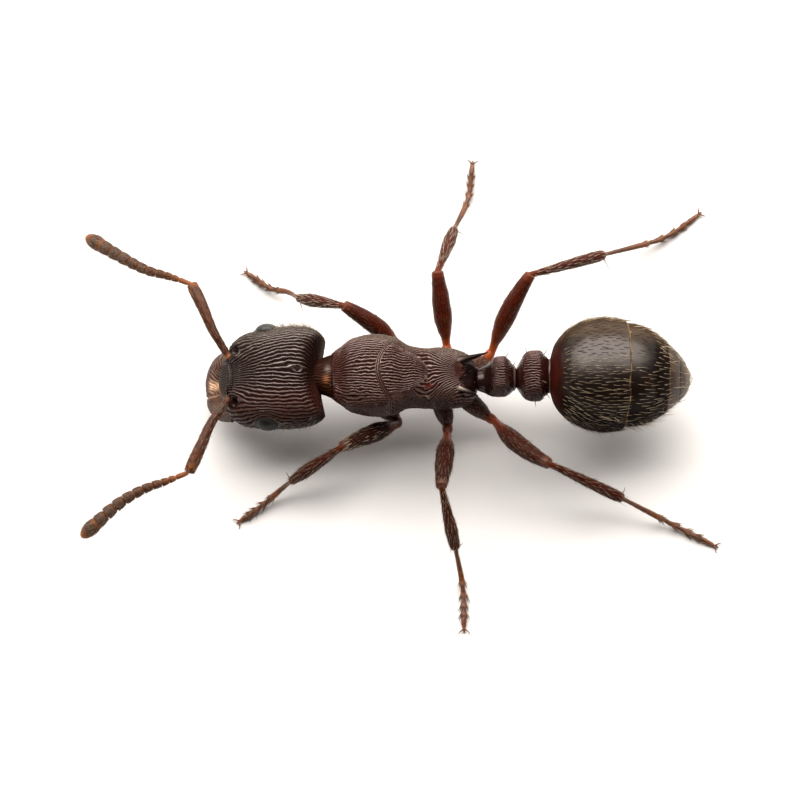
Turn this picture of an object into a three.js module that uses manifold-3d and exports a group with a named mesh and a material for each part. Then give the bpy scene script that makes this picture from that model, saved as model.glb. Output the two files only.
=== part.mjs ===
// Worker ant of the furrowed two-waisted kind, as a still life-size model.
// Millimetres, +Z up. The head points to -X, the ant's right side to +Y.
// The feet stand on the plane z = 0 and the origin is the middle of the footprint.

import * as THREE from 'three';
import { mergeVertices } from 'three/addons/utils/BufferGeometryUtils.js';
import Module from 'manifold-3d';

const wasm = await Module();
wasm.setup();

// ---- driving dimensions -------------------------------------------------------------

const GAP = 0.012;                   // parting line between neighbouring plates
const SIDES = { left: -1, right: 1 };
const BUNCHING = 0.6;                // how far the rings of a plate gather towards its ends
const FOOTPRINT = { x: 0.028, y: 0.011 };  // middle of the footprint, moved to the origin

const HEAD_TILT = THREE.MathUtils.degToRad(14);            // nose down
const OCCIPUT = new THREE.Vector3(-0.918, 0, 1.0);          // back of the head, its pivot

// Head, in its own frame: distance from the occiput, half width, top, bottom.
const HEAD = [
  [-1.274, 0.18, 0.03, -0.11],
  [-1.224, 0.33, 0.10, -0.18],
  [-1.104, 0.485, 0.21, -0.26],
  [-0.924, 0.573, 0.33, -0.34],
  [-0.670, 0.603, 0.41, -0.39],
  [-0.40, 0.618, 0.44, -0.42],
  [-0.22, 0.605, 0.43, -0.41],
  [-0.10, 0.565, 0.39, -0.385],
  [-0.02, 0.50, 0.32, -0.33],
  [0.0, 0.43, 0.26, -0.28],
];
const OCCIPUT_HOLLOW = { depth: 0.115, half: 0.46, from: -0.36 };   // concave back of the head
const EYE = { x: -0.654, y: 0.56, z: 0.10, length: 0.13, bulge: 0.095, height: 0.135 };
const SOCKET = { x: -1.124, y: 0.27, z: 0.17, radius: 0.085 };

// Mandibles in the head's frame: hinge, outer bend, front and tip. Closed, they meet on the left.
const MANDIBLE_ARC = {
  right: [[-1.144, 0.33, -0.18], [-1.324, 0.27, -0.26], [-1.418, 0.11, -0.31], [-1.432, -0.10, -0.33]],
  left: [[-1.144, -0.33, -0.18], [-1.310, -0.285, -0.26], [-1.395, -0.20, -0.31], [-1.432, -0.07, -0.33]],
};
const MANDIBLE = { blade: 0.135, thickness: 0.058, tip: 0.82, seam: -0.085 };

// Middle body along X: half width, top, bottom. It runs from the collar to the waist.
const TRUNK = [
  [-0.82, 0.275, 1.17, 0.78],
  [-0.74, 0.335, 1.22, 0.73],
  [-0.60, 0.455, 1.33, 0.66],
  [-0.40, 0.503, 1.40, 0.58],
  [-0.20, 0.474, 1.40, 0.52],
  [0.05, 0.378, 1.32, 0.48],
  [0.25, 0.362, 1.23, 0.48],
  [0.34, 0.364, 1.19, 0.49],
  [0.46, 0.374, 1.205, 0.50],
  [0.64, 0.362, 1.16, 0.50],
  [0.78, 0.325, 1.06, 0.52],
  [0.88, 0.245, 0.97, 0.58],
  [0.92, 0.16, 0.92, 0.66],
];
const TRUNK_UNDERCUT = 0.20;         // share of the width lost towards the underside
const PRONOTUM_END = -0.25;
const MESONOTUM_END = 0.335;
const SPINE = { root: [0.70, 0.14, 1.06], radius: 0.055, point: 0.009 };
const SPINE_TIP = { right: [1.055, 0.27, 1.08], left: [0.935, -0.262, 1.06] };

const NECK = [
  [-1.06, 0.17, 1.10, 0.84],
  [-0.92, 0.222, 1.14, 0.80],
  [-0.832, 0.260, 1.16, 0.785],
];

const PETIOLE = [
  [0.932, 0.13, 0.93, 0.68],
  [1.02, 0.165, 0.97, 0.66],
  [1.09, 0.212, 1.10, 0.66],
  [1.15, 0.232, 1.22, 0.67],
  [1.24, 0.235, 1.25, 0.68],
  [1.31, 0.20, 1.15, 0.70],
  [1.36, 0.152, 1.04, 0.74],
  [1.39, 0.125, 0.99, 0.77],
];
const POSTPETIOLE = [
  [1.402, 0.125, 1.00, 0.78],
  [1.445, 0.20, 1.14, 0.73],
  [1.50, 0.268, 1.25, 0.70],
  [1.58, 0.298, 1.29, 0.69],
  [1.66, 0.300, 1.29, 0.71],
  [1.72, 0.27, 1.24, 0.75],
  [1.785, 0.20, 1.14, 0.84],
];
// Hind body: the same columns, one shape cut into three plates.
const GASTER = [
  [1.797, 0.20, 1.15, 0.84],
  [1.84, 0.345, 1.33, 0.72],
  [1.93, 0.475, 1.48, 0.61],
  [2.06, 0.58, 1.59, 0.52],
  [2.24, 0.655, 1.66, 0.47],
  [2.50, 0.688, 1.68, 0.44],
  [2.76, 0.662, 1.64, 0.45],
  [3.00, 0.582, 1.52, 0.47],
  [3.20, 0.455, 1.35, 0.51],
  [3.35, 0.305, 1.17, 0.58],
  [3.43, 0.18, 1.05, 0.65],
  [3.468, 0.085, 0.96, 0.72],
];
const FIRST_PLATE_END = 2.76;
const SECOND_PLATE_END = 3.24;

// Legs: radius along each segment as [share of its length, radius].
const COXA = [[0, 0.085], [0.3, 0.115], [0.7, 0.10], [1, 0.062]];
const TROCHANTER = [[0, 0.056], [0.5, 0.062], [1, 0.048]];
const FEMUR = [[0, 0.046], [0.08, 0.052], [0.22, 0.084], [0.42, 0.112], [0.62, 0.106], [0.82, 0.088], [1, 0.068]];
const TIBIA = {
  fore: [[0, 0.036], [0.10, 0.040], [0.45, 0.066], [0.72, 0.076], [0.92, 0.056], [1, 0.046]],
  middle: [[0, 0.036], [0.10, 0.038], [0.42, 0.057], [0.70, 0.075], [0.90, 0.066], [1, 0.052]],
  hind: [[0, 0.036], [0.10, 0.039], [0.42, 0.055], [0.70, 0.066], [0.90, 0.068], [1, 0.058]],
};
const TARSUS_SHARES = [0.47, 0.155, 0.125, 0.10, 0.15];  // five joints of the foot
const TARSUS = { waist: 0.021, flare: 0.036, first: 0.030 };
const JOINT = { narrowest: 0.08, widest: 0.86 };         // shares of the length of one joint
const CLAW = { reach: 0.06, spread: 0.07, drop: 0.018, root: 0.013, point: 0.004 };
const CLAW_BEND = { reach: 0.35, spread: 0.70 };         // where a claw turns forwards

// Joints of each leg. The hip is hidden under the body, bow is how far the thigh bends out
// of a straight line, and toes are points on the foot from its first joint to its end.
const LEGS = {
  fore_right: {
    hip: [-0.42, 0.17, 0.70], coxaEnd: [-0.06, 0.40, 0.37], femurBase: [-0.012, 0.53, 0.42],
    bow: [0.012, 0.012, 0.03], knee: [-0.667, 0.888, 0.912], ankle: [-1.226, 1.129, 0.372],
    toes: [[-1.362, 1.244, 0.22], [-1.571, 1.323, 0.085], [-1.852, 1.528, 0.024]],
  },
  fore_left: {
    hip: [-0.42, -0.17, 0.70], coxaEnd: [-0.05, -0.36, 0.36], femurBase: [-0.02, -0.45, 0.42],
    bow: [0, 0, 0.03], knee: [-0.688, -0.850, 0.912], ankle: [-1.307, -1.146, 0.372],
    toes: [[-1.427, -1.209, 0.22], [-1.645, -1.369, 0.085], [-1.922, -1.558, 0.024]],
  },
  middle_right: {
    hip: [0.46, 0.16, 0.58], coxaEnd: [0.57, 0.40, 0.38], femurBase: [0.561, 0.53, 0.42],
    bow: [-0.002, 0, 0.03], knee: [0.451, 1.314, 0.90], ankle: [0.652, 1.992, 0.33],
    toes: [[0.827, 2.449, 0.085], [0.881, 2.895, 0.024]],
  },
  middle_left: {
    hip: [0.47, -0.16, 0.58], coxaEnd: [0.575, -0.44, 0.38], femurBase: [0.572, -0.575, 0.42],
    bow: [0, 0, 0.03], knee: [0.494, -1.334, 0.90], ankle: [0.666, -1.963, 0.33],
    toes: [[0.757, -2.412, 0.085], [0.769, -2.879, 0.024]],
  },
  hind_right: {
    hip: [0.74, 0.14, 0.60], coxaEnd: [1.03, 0.34, 0.40], femurBase: [1.11, 0.45, 0.45],
    bow: [-0.025, 0.016, 0.03], knee: [1.562, 1.248, 1.008], ankle: [2.456, 1.657, 0.408],
    toes: [[3.170, 1.945, 0.085], [3.398, 2.083, 0.04], [3.625, 2.264, 0.024]],
  },
  hind_left: {
    hip: [0.74, -0.14, 0.60], coxaEnd: [1.05, -0.35, 0.40], femurBase: [1.143, -0.422, 0.45],
    bow: [-0.036, -0.036, 0.03], knee: [1.775, -1.083, 1.008], ankle: [2.661, -1.365, 0.408],
    toes: [[3.306, -1.628, 0.085], [3.782, -1.861, 0.024]],
  },
};

// Feelers. The scape bows slightly outwards; the lash sinks towards its tip.
const ANTENNAE = {
  right: {
    scape: [[-2.053, 0.26, 0.87], [-2.252, 0.593, 0.92], [-2.366, 0.860, 0.93], [-2.500, 1.155, 0.89]],
    lash: [[-2.533, 1.190, 0.87], [-2.794, 1.282, 0.82], [-3.055, 1.377, 0.75], [-3.325, 1.543, 0.65],
      [-3.795, 1.873, 0.45]],
  },
  left: {
    scape: [[-2.053, -0.26, 0.87], [-2.252, -0.545, 0.92], [-2.382, -0.849, 0.93], [-2.520, -1.150, 0.89]],
    lash: [[-2.549, -1.185, 0.87], [-2.811, -1.262, 0.82], [-3.029, -1.323, 0.76], [-3.343, -1.472, 0.65],
      [-3.820, -1.855, 0.45]],
  },
};
const SCAPE = [[0, 0.046], [0.05, 0.042], [0.2, 0.048], [0.6, 0.064], [0.88, 0.074], [1, 0.064]];
const LASH_SHARES = [0.105, 0.058, 0.062, 0.075, 0.080, 0.082, 0.088, 0.092, 0.095, 0.095, 0.168];
const CLUB_JOINTS = 4;
const LASH = { start: 0.032, end: 0.087, waist: 0.80, growth: 0.8 };
const CLUB_TIP = { shoulder: 0.91, blunt: 0.38 };         // where the last joint rounds off
const SCAPE_SHARES = [0, 0.04, 0.12, 0.3, 0.5, 0.7, 0.88, 0.96, 1];

// ---- colours and finishes -----------------------------------------------------------

function shell(colour, roughness) {
  return new THREE.MeshStandardMaterial({ color: colour, roughness, metalness: 0 });
}

const FINISH = {
  head: shell('#2b2423', 0.45),
  trunk: shell('#35201d', 0.45),
  waist: shell('#2a1010', 0.35),
  gaster: shell('#1a1411', 0.22),
  eye: shell('#2f3a3c', 0.30),
  jaw: shell('#6e3a26', 0.40),
  leg: shell('#5c2a1c', 0.38),
  foot: shell('#8a4a2a', 0.45),
  feeler: shell('#55301f', 0.50),
};

// ---- shape helpers ------------------------------------------------------------------

// Value of one column of a table at x, by a smooth curve through its rows that never
// swings past them: the slope at a row is zero at a peak and a mean elsewhere.
function along(table, x, column) {
  const last = table.length - 1;
  const rise = (i) => (table[i + 1][column] - table[i][column]) / (table[i + 1][0] - table[i][0]);
  const slope = (i) => {
    if (i === 0) return rise(0);
    if (i === last) return rise(last - 1);
    const before = rise(i - 1);
    const after = rise(i);
    return before * after <= 0 ? 0 : (2 * before * after) / (before + after);
  };
  if (x <= table[0][0]) return table[0][column];
  if (x >= table[last][0]) return table[last][column];
  let i = 0;
  while (x > table[i + 1][0]) i += 1;
  const span = table[i + 1][0] - table[i][0];
  const t = (x - table[i][0]) / span;
  const keep = (1 + 2 * t) * (1 - t) ** 2;
  const reach = t * t * (3 - 2 * t);
  const bendIn = t * (1 - t) ** 2 * span * slope(i);
  const bendOut = t * t * (t - 1) * span * slope(i + 1);
  return table[i][column] * keep + table[i + 1][column] * reach + bendIn + bendOut;
}

// A closed surface over rings of equal length, with a fan over each end ring.
function closeOver(rings) {
  const sides = rings[0].length;
  const points = rings.flat();
  const middle = (ring) => ring.reduce((sum, p) => sum.add(p), new THREE.Vector3()).divideScalar(sides);
  const faces = [];
  for (let r = 0; r + 1 < rings.length; r += 1) {
    for (let i = 0; i < sides; i += 1) {
      const a = r * sides + i;
      const b = r * sides + ((i + 1) % sides);
      faces.push(a, b, b + sides, a, b + sides, a + sides);
    }
  }
  const first = points.push(middle(rings[0])) - 1;
  const last = points.push(middle(rings[rings.length - 1])) - 1;
  const base = (rings.length - 1) * sides;
  for (let i = 0; i < sides; i += 1) {
    const next = (i + 1) % sides;
    faces.push(first, next, i);
    faces.push(last, base + i, base + next);
  }
  const geometry = new THREE.BufferGeometry().setFromPoints(points);
  geometry.setIndex(faces);
  if (volumeOf(geometry) < 0) geometry.setIndex(faces.reverse());
  geometry.computeVertexNormals();
  return geometry;
}

function volumeOf(geometry) {
  const p = geometry.getAttribute('position');
  const corner = [0, 1, 2].map(() => new THREE.Vector3());
  let sum = 0;
  for (let i = 0; i < geometry.index.count; i += 3) {
    corner.forEach((v, k) => v.fromBufferAttribute(p, geometry.index.getX(i + k)));
    sum += corner[0].dot(corner[1].clone().cross(corner[2]));
  }
  return sum / 6;
}

// A body plate along X: rings of superellipses read from a table between two stations.
// hollow, if given, draws the far end in towards its middle, so that it is concave from above.
function plate(table, { from, to, steps, sides, square = 2.2, undercut = 0, grow = 0, hollow }) {
  const start = from ?? table[0][0] - grow;
  const end = to ?? table[table.length - 1][0] + grow;
  const rings = [];
  for (let k = 0; k <= steps; k += 1) {
    const even = k / steps;
    const eased = (1 - Math.cos(Math.PI * even)) / 2;
    const x = start + (end - start) * (even + BUNCHING * (eased - even));
    const width = along(table, x, 1) + grow;
    const top = along(table, x, 2) + grow;
    const bottom = along(table, x, 3) - grow;
    rings.push(oval(sides, square).map(([across, up]) => {
      const narrowing = 1 - undercut * Math.max(0, -up);
      const y = width * across * narrowing;
      return new THREE.Vector3(
        hollow ? x - drawnIn(hollow, x, y) : x,
        y,
        (top + bottom) / 2 + ((top - bottom) / 2) * up,
      );
    }));
  }
  return closeOver(rings);
}

// How far a point at (x, y) is drawn in: nothing up to hollow.from, then more and more
// towards x = 0, and most on the midline.
function drawnIn(hollow, x, y) {
  const share = THREE.MathUtils.clamp(1 - x / hollow.from, 0, 1);
  return hollow.depth * share ** 2 * Math.max(0, 1 - (y / hollow.half) ** 2);
}

// Unit superellipse as [across, up] pairs.
function oval(sides, square) {
  const bulge = (v) => Math.sign(v) * Math.abs(v) ** (2 / square);
  return Array.from({ length: sides }, (_, i) => {
    const angle = (2 * Math.PI * (i + 0.5)) / sides;
    return [bulge(Math.cos(angle)), bulge(Math.sin(angle))];
  });
}

function vectors(list) {
  return list.map((p) => new THREE.Vector3(...p));
}

// A limb along a curve. stations is a list of { t, radius }, in order. The first and last
// rings may be cut off square to startNormal and endNormal, so that two limbs meet in a
// mitre. flat squeezes the section along Z, and floor keeps it from sinking below a level.
function limb(curve, stations, { sides, startNormal, endNormal, flat = 1, floor = -Infinity }) {
  const rings = [];
  let across = null;
  stations.forEach(({ t, radius }, k) => {
    const centre = curve.getPointAt(t);
    const ahead = curve.getTangentAt(t).normalize();
    if (across === null) across = new THREE.Vector3(0, 0, 1).cross(ahead).normalize();
    across.addScaledVector(ahead, -across.dot(ahead)).normalize();
    const up = ahead.clone().cross(across);
    const isFirst = k === 0 && startNormal;
    const isLast = k === stations.length - 1 && endNormal;
    const normal = isFirst ? startNormal : isLast ? endNormal : ahead;
    const ring = [];
    for (let i = 0; i < sides; i += 1) {
      const angle = (2 * Math.PI * (i + 0.5)) / sides;
      const point = centre.clone()
        .addScaledVector(across, radius * Math.cos(angle))
        .addScaledVector(up, radius * flat * Math.sin(angle));
      const slide = centre.clone().sub(point).dot(normal) / ahead.dot(normal);
      point.addScaledVector(ahead, slide);
      point.z = Math.max(point.z, floor);
      ring.push(point);
    }
    rings.push(ring);
  });
  return closeOver(rings);
}

function toSolid(geometry) {
  const bare = new THREE.BufferGeometry();
  bare.setAttribute('position', geometry.getAttribute('position').clone());
  bare.setIndex(geometry.index.clone());
  const joined = mergeVertices(bare, GAP / 100);
  return new wasm.Manifold(new wasm.Mesh({
    numProp: 3,
    vertProperties: new Float32Array(joined.getAttribute('position').array),
    triVerts: new Uint32Array(joined.index.array),
  }));
}

function toGeometry(solid) {
  const mesh = solid.simplify(GAP / 4).getMesh();
  const geometry = new THREE.BufferGeometry();
  geometry.setAttribute('position', new THREE.BufferAttribute(mesh.vertProperties, 3));
  geometry.setIndex(new THREE.BufferAttribute(mesh.triVerts, 1));
  geometry.computeVertexNormals();
  return geometry;
}

function cutBy(geometry, ...tools) {
  return toGeometry(tools.reduce((solid, tool) => solid.subtract(toSolid(tool)), toSolid(geometry)));
}

function joinTo(geometry, ...others) {
  return toGeometry(others.reduce((solid, other) => solid.add(toSolid(other)), toSolid(geometry)));
}

function ellipsoid(centre, radii, sides) {
  const geometry = new THREE.SphereGeometry(1, sides, Math.round(sides * 0.6));
  geometry.scale(...radii);
  geometry.translate(...centre);
  return mergeVertices(geometry.deleteAttribute('normal').deleteAttribute('uv'), GAP / 100);
}

// ---- the model ----------------------------------------------------------------------

const ant = new THREE.Group();
ant.name = 'ant';
ant.position.set(-FOOTPRINT.x, -FOOTPRINT.y, 0);

function addNode(parent, name, geometry, material) {
  const mesh = new THREE.Mesh(geometry, material);
  mesh.name = name;
  parent.add(mesh);
  return mesh;
}

// Head with eyes and mandibles, turned nose down about the occiput.

const head = new THREE.Group();
head.position.copy(OCCIPUT);
head.rotation.y = -HEAD_TILT;
ant.add(head);

function headShell(grow) {
  return plate(HEAD, { steps: 13, sides: 28, square: 2.3, grow, hollow: OCCIPUT_HOLLOW });
}

function eyeBall(side, grow) {
  const radii = [EYE.length + grow, EYE.bulge + grow, EYE.height + grow];
  return ellipsoid([EYE.x, side * EYE.y, EYE.z], radii, 12);
}

function socketBall(side) {
  const size = SOCKET.radius;
  return ellipsoid([SOCKET.x, side * SOCKET.y, SOCKET.z], [size, size, size], 8);
}

function mandible(name, side) {
  const points = MANDIBLE_ARC[name];
  const arc = new THREE.CatmullRomCurve3(vectors(points));
  const stations = [];
  const steps = 7;
  for (let k = 0; k <= steps; k += 1) {
    const t = k / steps;
    const fullness = 1 - (1 - MANDIBLE.tip) * t ** 3;
    stations.push({ t, radius: MANDIBLE.blade * fullness });
  }
  const flat = MANDIBLE.thickness / MANDIBLE.blade;
  const blade = limb(arc, stations, { sides: 10, flat });
  const box = new THREE.BoxGeometry(1, 1, 1);
  box.deleteAttribute('normal').deleteAttribute('uv');
  box.translate(points[3][0], MANDIBLE.seam + side * (GAP / 2 - 0.5), points[3][2]);
  return cutBy(blade, headShell(GAP), mergeVertices(box));
}

const headTools = Object.values(SIDES).flatMap((side) => [eyeBall(side, GAP), socketBall(side)]);
addNode(head, 'head', cutBy(headShell(0), ...headTools), FINISH.head);
for (const [name, side] of Object.entries(SIDES)) {
  addNode(head, `eye_${name}`, eyeBall(side, 0), FINISH.eye);
  addNode(head, `mandible_${name}`, mandible(name, side), FINISH.jaw);
}

// Middle body: neck, three back plates and the two spines over the waist.

function trunk(from, to, steps, grow = 0) {
  return plate(TRUNK, { from, to, steps, sides: 24, undercut: TRUNK_UNDERCUT, grow });
}

function spine([name, side]) {
  const [x, y, z] = SPINE.root;
  const line = new THREE.LineCurve3(...vectors([[x, side * y, z], SPINE_TIP[name]]));
  const stations = [{ t: 0, radius: SPINE.radius }, { t: 1, radius: SPINE.point }];
  return limb(line, stations, { sides: 7 });
}

const headInPlace = headShell(GAP);
headInPlace.rotateY(-HEAD_TILT);
headInPlace.translate(OCCIPUT.x, OCCIPUT.y, OCCIPUT.z);
addNode(ant, 'neck', cutBy(plate(NECK, { steps: 4, sides: 16 }), headInPlace), FINISH.trunk);
addNode(ant, 'pronotum', trunk(undefined, PRONOTUM_END - GAP / 2, 8), FINISH.trunk);
addNode(ant, 'mesonotum', trunk(PRONOTUM_END + GAP / 2, MESONOTUM_END - GAP / 2, 6), FINISH.trunk);
const propodeum = trunk(MESONOTUM_END + GAP / 2, undefined, 8);
const spines = Object.entries(SIDES).map(spine);
addNode(ant, 'propodeum', joinTo(propodeum, ...spines), FINISH.trunk);

// Waist and hind body.

addNode(ant, 'petiole', plate(PETIOLE, { steps: 8, sides: 18 }), FINISH.waist);
addNode(ant, 'postpetiole', plate(POSTPETIOLE, { steps: 7, sides: 18 }), FINISH.waist);

function gaster(from, to, steps) {
  return plate(GASTER, { from, to, steps, sides: 28, square: 2.05 });
}

addNode(ant, 'gaster_first', gaster(undefined, FIRST_PLATE_END - GAP / 2, 9), FINISH.gaster);
const secondPlate = gaster(FIRST_PLATE_END + GAP / 2, SECOND_PLATE_END - GAP / 2, 4);
addNode(ant, 'gaster_second', secondPlate, FINISH.gaster);
addNode(ant, 'gaster_tip', gaster(SECOND_PLATE_END + GAP / 2, undefined, 5), FINISH.gaster);

// Legs. Each segment is a straight or bent limb; neighbours meet in a mitre at the joint.

function fromTable(table, ts) {
  return ts.map((t) => ({ t, radius: along(table, t, 1) }));
}

function evenly(steps) {
  return Array.from({ length: steps + 1 }, (_, k) => k / steps);
}

// Splits a chain of joint points into lines that stop half a gap short of each joint.
function segmentBetween(chain, i) {
  const direction = (a, b) => chain[b].clone().sub(chain[a]).normalize();
  const own = direction(i, i + 1);
  const bisector = (other) => other.clone().add(own).normalize();
  const startNormal = i > 0 ? bisector(direction(i - 1, i)) : own;
  const endNormal = i + 2 < chain.length ? bisector(direction(i + 1, i + 2)) : own;
  const half = GAP / 2;
  const start = chain[i].clone().addScaledVector(own, i > 0 ? half / own.dot(startNormal) : 0);
  const end = chain[i + 1].clone().addScaledVector(own, -half / own.dot(endNormal));
  return { start, end, startNormal, endNormal };
}

// Rings of a row of joints: each joint is narrow at its start and flares to its end.
function jointRings(shares, waistAt, flareAt) {
  const total = shares.reduce((sum, share) => sum + share, 0);
  const stations = [];
  let begin = 0;
  shares.forEach((share, j) => {
    const length = share / total;
    stations.push({ t: begin + length * JOINT.narrowest, radius: waistAt(j) });
    stations.push({ t: begin + length * JOINT.widest, radius: flareAt(j) });
    begin += length;
  });
  stations[0].t = 0;
  stations[stations.length - 1].t = 1;
  return stations;
}

function addLeg(name, joints) {
  const [pair, side] = name.split('_');
  const node = (part) => `${pair}_${part}_${side}`;
  const { hip, coxaEnd, femurBase, knee, ankle, bow, toes } = joints;
  const chain = vectors([hip, coxaEnd, femurBase, knee, ankle, toes[0]]);

  const segment = (i, table, steps, sides, bend = [0, 0, 0]) => {
    const { start, end, startNormal, endNormal } = segmentBetween(chain, i);
    const elbow = start.clone().lerp(end, 0.5).addScaledVector(new THREE.Vector3(...bend), 2);
    const line = new THREE.QuadraticBezierCurve3(start, elbow, end);
    return limb(line, fromTable(table, evenly(steps)), { sides, startNormal, endNormal });
  };

  const coxa = cutBy(segment(0, COXA, 4, 8), trunk(undefined, undefined, 16, GAP));
  addNode(ant, node('coxa'), coxa, FINISH.trunk);
  addNode(ant, node('trochanter'), segment(1, TROCHANTER, 2, 8), FINISH.leg);
  addNode(ant, node('femur'), segment(2, FEMUR, 6, 10, bow), FINISH.leg);
  addNode(ant, node('tibia'), segment(3, TIBIA[pair], 5, 8), FINISH.leg);

  const { start, startNormal } = segmentBetween(chain, 4);
  const path = new THREE.CatmullRomCurve3([start, ...vectors(toes)]);
  const flareAt = (j) => (j === 0 ? TARSUS.first : TARSUS.flare);
  const stations = jointRings(TARSUS_SHARES, () => TARSUS.waist, flareAt);
  const sole = { sides: 8, startNormal, floor: 0 };
  addNode(ant, node('tarsus'), limb(path, stations, sole), FINISH.foot);
  addNode(ant, node('claws'), claws(path.getPointAt(1), path.getTangentAt(1)), FINISH.foot);
}

// A pair of claws as one bent horn: point, root in front of the foot, and point.
function claws(foot, heading) {
  const ahead = new THREE.Vector3(heading.x, heading.y, 0).normalize();
  const across = new THREE.Vector3(-ahead.y, ahead.x, 0);
  const root = foot.clone().addScaledVector(ahead, CLAW.root + GAP);
  const at = (forward, sideways, down) => root.clone()
    .addScaledVector(ahead, forward)
    .addScaledVector(across, sideways)
    .add(new THREE.Vector3(0, 0, -down));
  const { reach, spread, drop } = CLAW;
  const curve = new THREE.CatmullRomCurve3([
    at(reach, -spread, drop),
    at(reach * CLAW_BEND.reach, -spread * CLAW_BEND.spread, 0),
    root,
    at(reach * CLAW_BEND.reach, spread * CLAW_BEND.spread, 0),
    at(reach, spread, drop),
  ]);
  const stations = evenly(6).map((t) => {
    const fullness = Math.sin(Math.PI * t) ** 0.7;
    return { t, radius: CLAW.point + (CLAW.root - CLAW.point) * fullness };
  });
  return limb(curve, stations, { sides: 5, floor: 0 });
}

for (const [name, joints] of Object.entries(LEGS)) {
  addLeg(name, joints);
}

// Feelers: a long scape, then a lash of eleven joints whose last four form the club.

function addFeeler(name, { scape, lash }) {
  const stalk = new THREE.CatmullRomCurve3(vectors(scape));
  addNode(ant, `scape_${name}`, limb(stalk, fromTable(SCAPE, SCAPE_SHARES), { sides: 9 }), FINISH.feeler);

  const whole = new THREE.CatmullRomCurve3(vectors(lash));
  const count = LASH_SHARES.length;
  const swelling = (j) => (j / (count - 1)) ** LASH.growth;
  const radiusAt = (j) => LASH.start + (LASH.end - LASH.start) * swelling(j);
  const stations = jointRings(LASH_SHARES, (j) => radiusAt(j) * LASH.waist, radiusAt);
  stations.pop();
  stations.push({ t: CLUB_TIP.shoulder, radius: LASH.end });
  stations.push({ t: 1, radius: LASH.end * CLUB_TIP.blunt });
  const clubStart = (count - CLUB_JOINTS) * 2;
  const beforeClub = stations.slice(0, clubStart);
  const club = stations.slice(clubStart);
  const halfGap = GAP / 2 / whole.getLength();
  const parting = (beforeClub[clubStart - 1].t + club[0].t) / 2;
  beforeClub[clubStart - 1].t = parting - halfGap;
  club[0].t = parting + halfGap;
  addNode(ant, `lash_${name}`, limb(whole, beforeClub, { sides: 8 }), FINISH.feeler);
  addNode(ant, `club_${name}`, limb(whole, club, { sides: 8 }), FINISH.feeler);
}

for (const [name, curves] of Object.entries(ANTENNAE)) {
  addFeeler(name, curves);
}

export default ant;
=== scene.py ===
# Worker ant of the furrowed two-waisted kind: skin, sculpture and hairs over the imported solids.
# Shapes are worked out in millimetres, in the frame of the solids, and written in metres.

import math

import bpy
import numpy as np
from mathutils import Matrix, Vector


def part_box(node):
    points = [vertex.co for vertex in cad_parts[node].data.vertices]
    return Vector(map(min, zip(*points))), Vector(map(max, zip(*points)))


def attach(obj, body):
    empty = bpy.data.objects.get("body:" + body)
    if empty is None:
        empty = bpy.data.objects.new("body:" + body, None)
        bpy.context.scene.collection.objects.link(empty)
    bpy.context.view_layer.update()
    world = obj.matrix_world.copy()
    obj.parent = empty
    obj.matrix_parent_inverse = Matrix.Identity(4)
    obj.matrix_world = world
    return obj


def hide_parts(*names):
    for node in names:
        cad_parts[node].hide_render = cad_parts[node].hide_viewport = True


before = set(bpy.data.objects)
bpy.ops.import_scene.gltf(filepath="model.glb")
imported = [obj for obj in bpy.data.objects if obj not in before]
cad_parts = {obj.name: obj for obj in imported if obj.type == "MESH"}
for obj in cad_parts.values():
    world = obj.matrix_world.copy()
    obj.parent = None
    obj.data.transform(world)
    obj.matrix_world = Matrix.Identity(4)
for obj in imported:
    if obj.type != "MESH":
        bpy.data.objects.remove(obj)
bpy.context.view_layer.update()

MM = 0.001
TURN = 2 * math.pi
UP = np.array([0.0, 0.0, 1.0])
QUARTER_TURN = np.linspace(0, math.pi / 2, 6)[1:]
GOLDEN_PAIR = (0.7548776662, 0.5698402910)

# ---- sizes of the plates and limbs, as in the solids ---------------------------------

HEAD_TILT = math.radians(14)
OCCIPUT = np.array([-0.918, 0.0, 1.0])
HEAD = [
    [-1.274, 0.18, 0.03, -0.11],
    [-1.224, 0.33, 0.10, -0.18],
    [-1.104, 0.485, 0.21, -0.26],
    [-0.924, 0.573, 0.33, -0.34],
    [-0.670, 0.603, 0.41, -0.39],
    [-0.40, 0.618, 0.44, -0.42],
    [-0.22, 0.605, 0.43, -0.41],
    [-0.10, 0.565, 0.39, -0.385],
    [-0.02, 0.50, 0.32, -0.33],
    [0.0, 0.43, 0.26, -0.28],
]
BLADE = {"half_width": 0.135, "half_height": 0.058}
HOLLOW = {"depth": 0.115, "half": 0.46, "start": -0.36}
EYE = {"x": -0.658, "y": 0.56, "z": 0.10, "length": 0.143, "bulge": 0.098, "height": 0.145}
MANDIBLE_ARC = {
    "right": [[-1.144, 0.33, -0.18], [-1.324, 0.27, -0.26], [-1.418, 0.11, -0.31],
              [-1.432, -0.078, -0.33]],
    "left": [[-1.144, -0.33, -0.18], [-1.310, -0.285, -0.26], [-1.395, -0.20, -0.31],
             [-1.432, -0.095, -0.335]],
}

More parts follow.
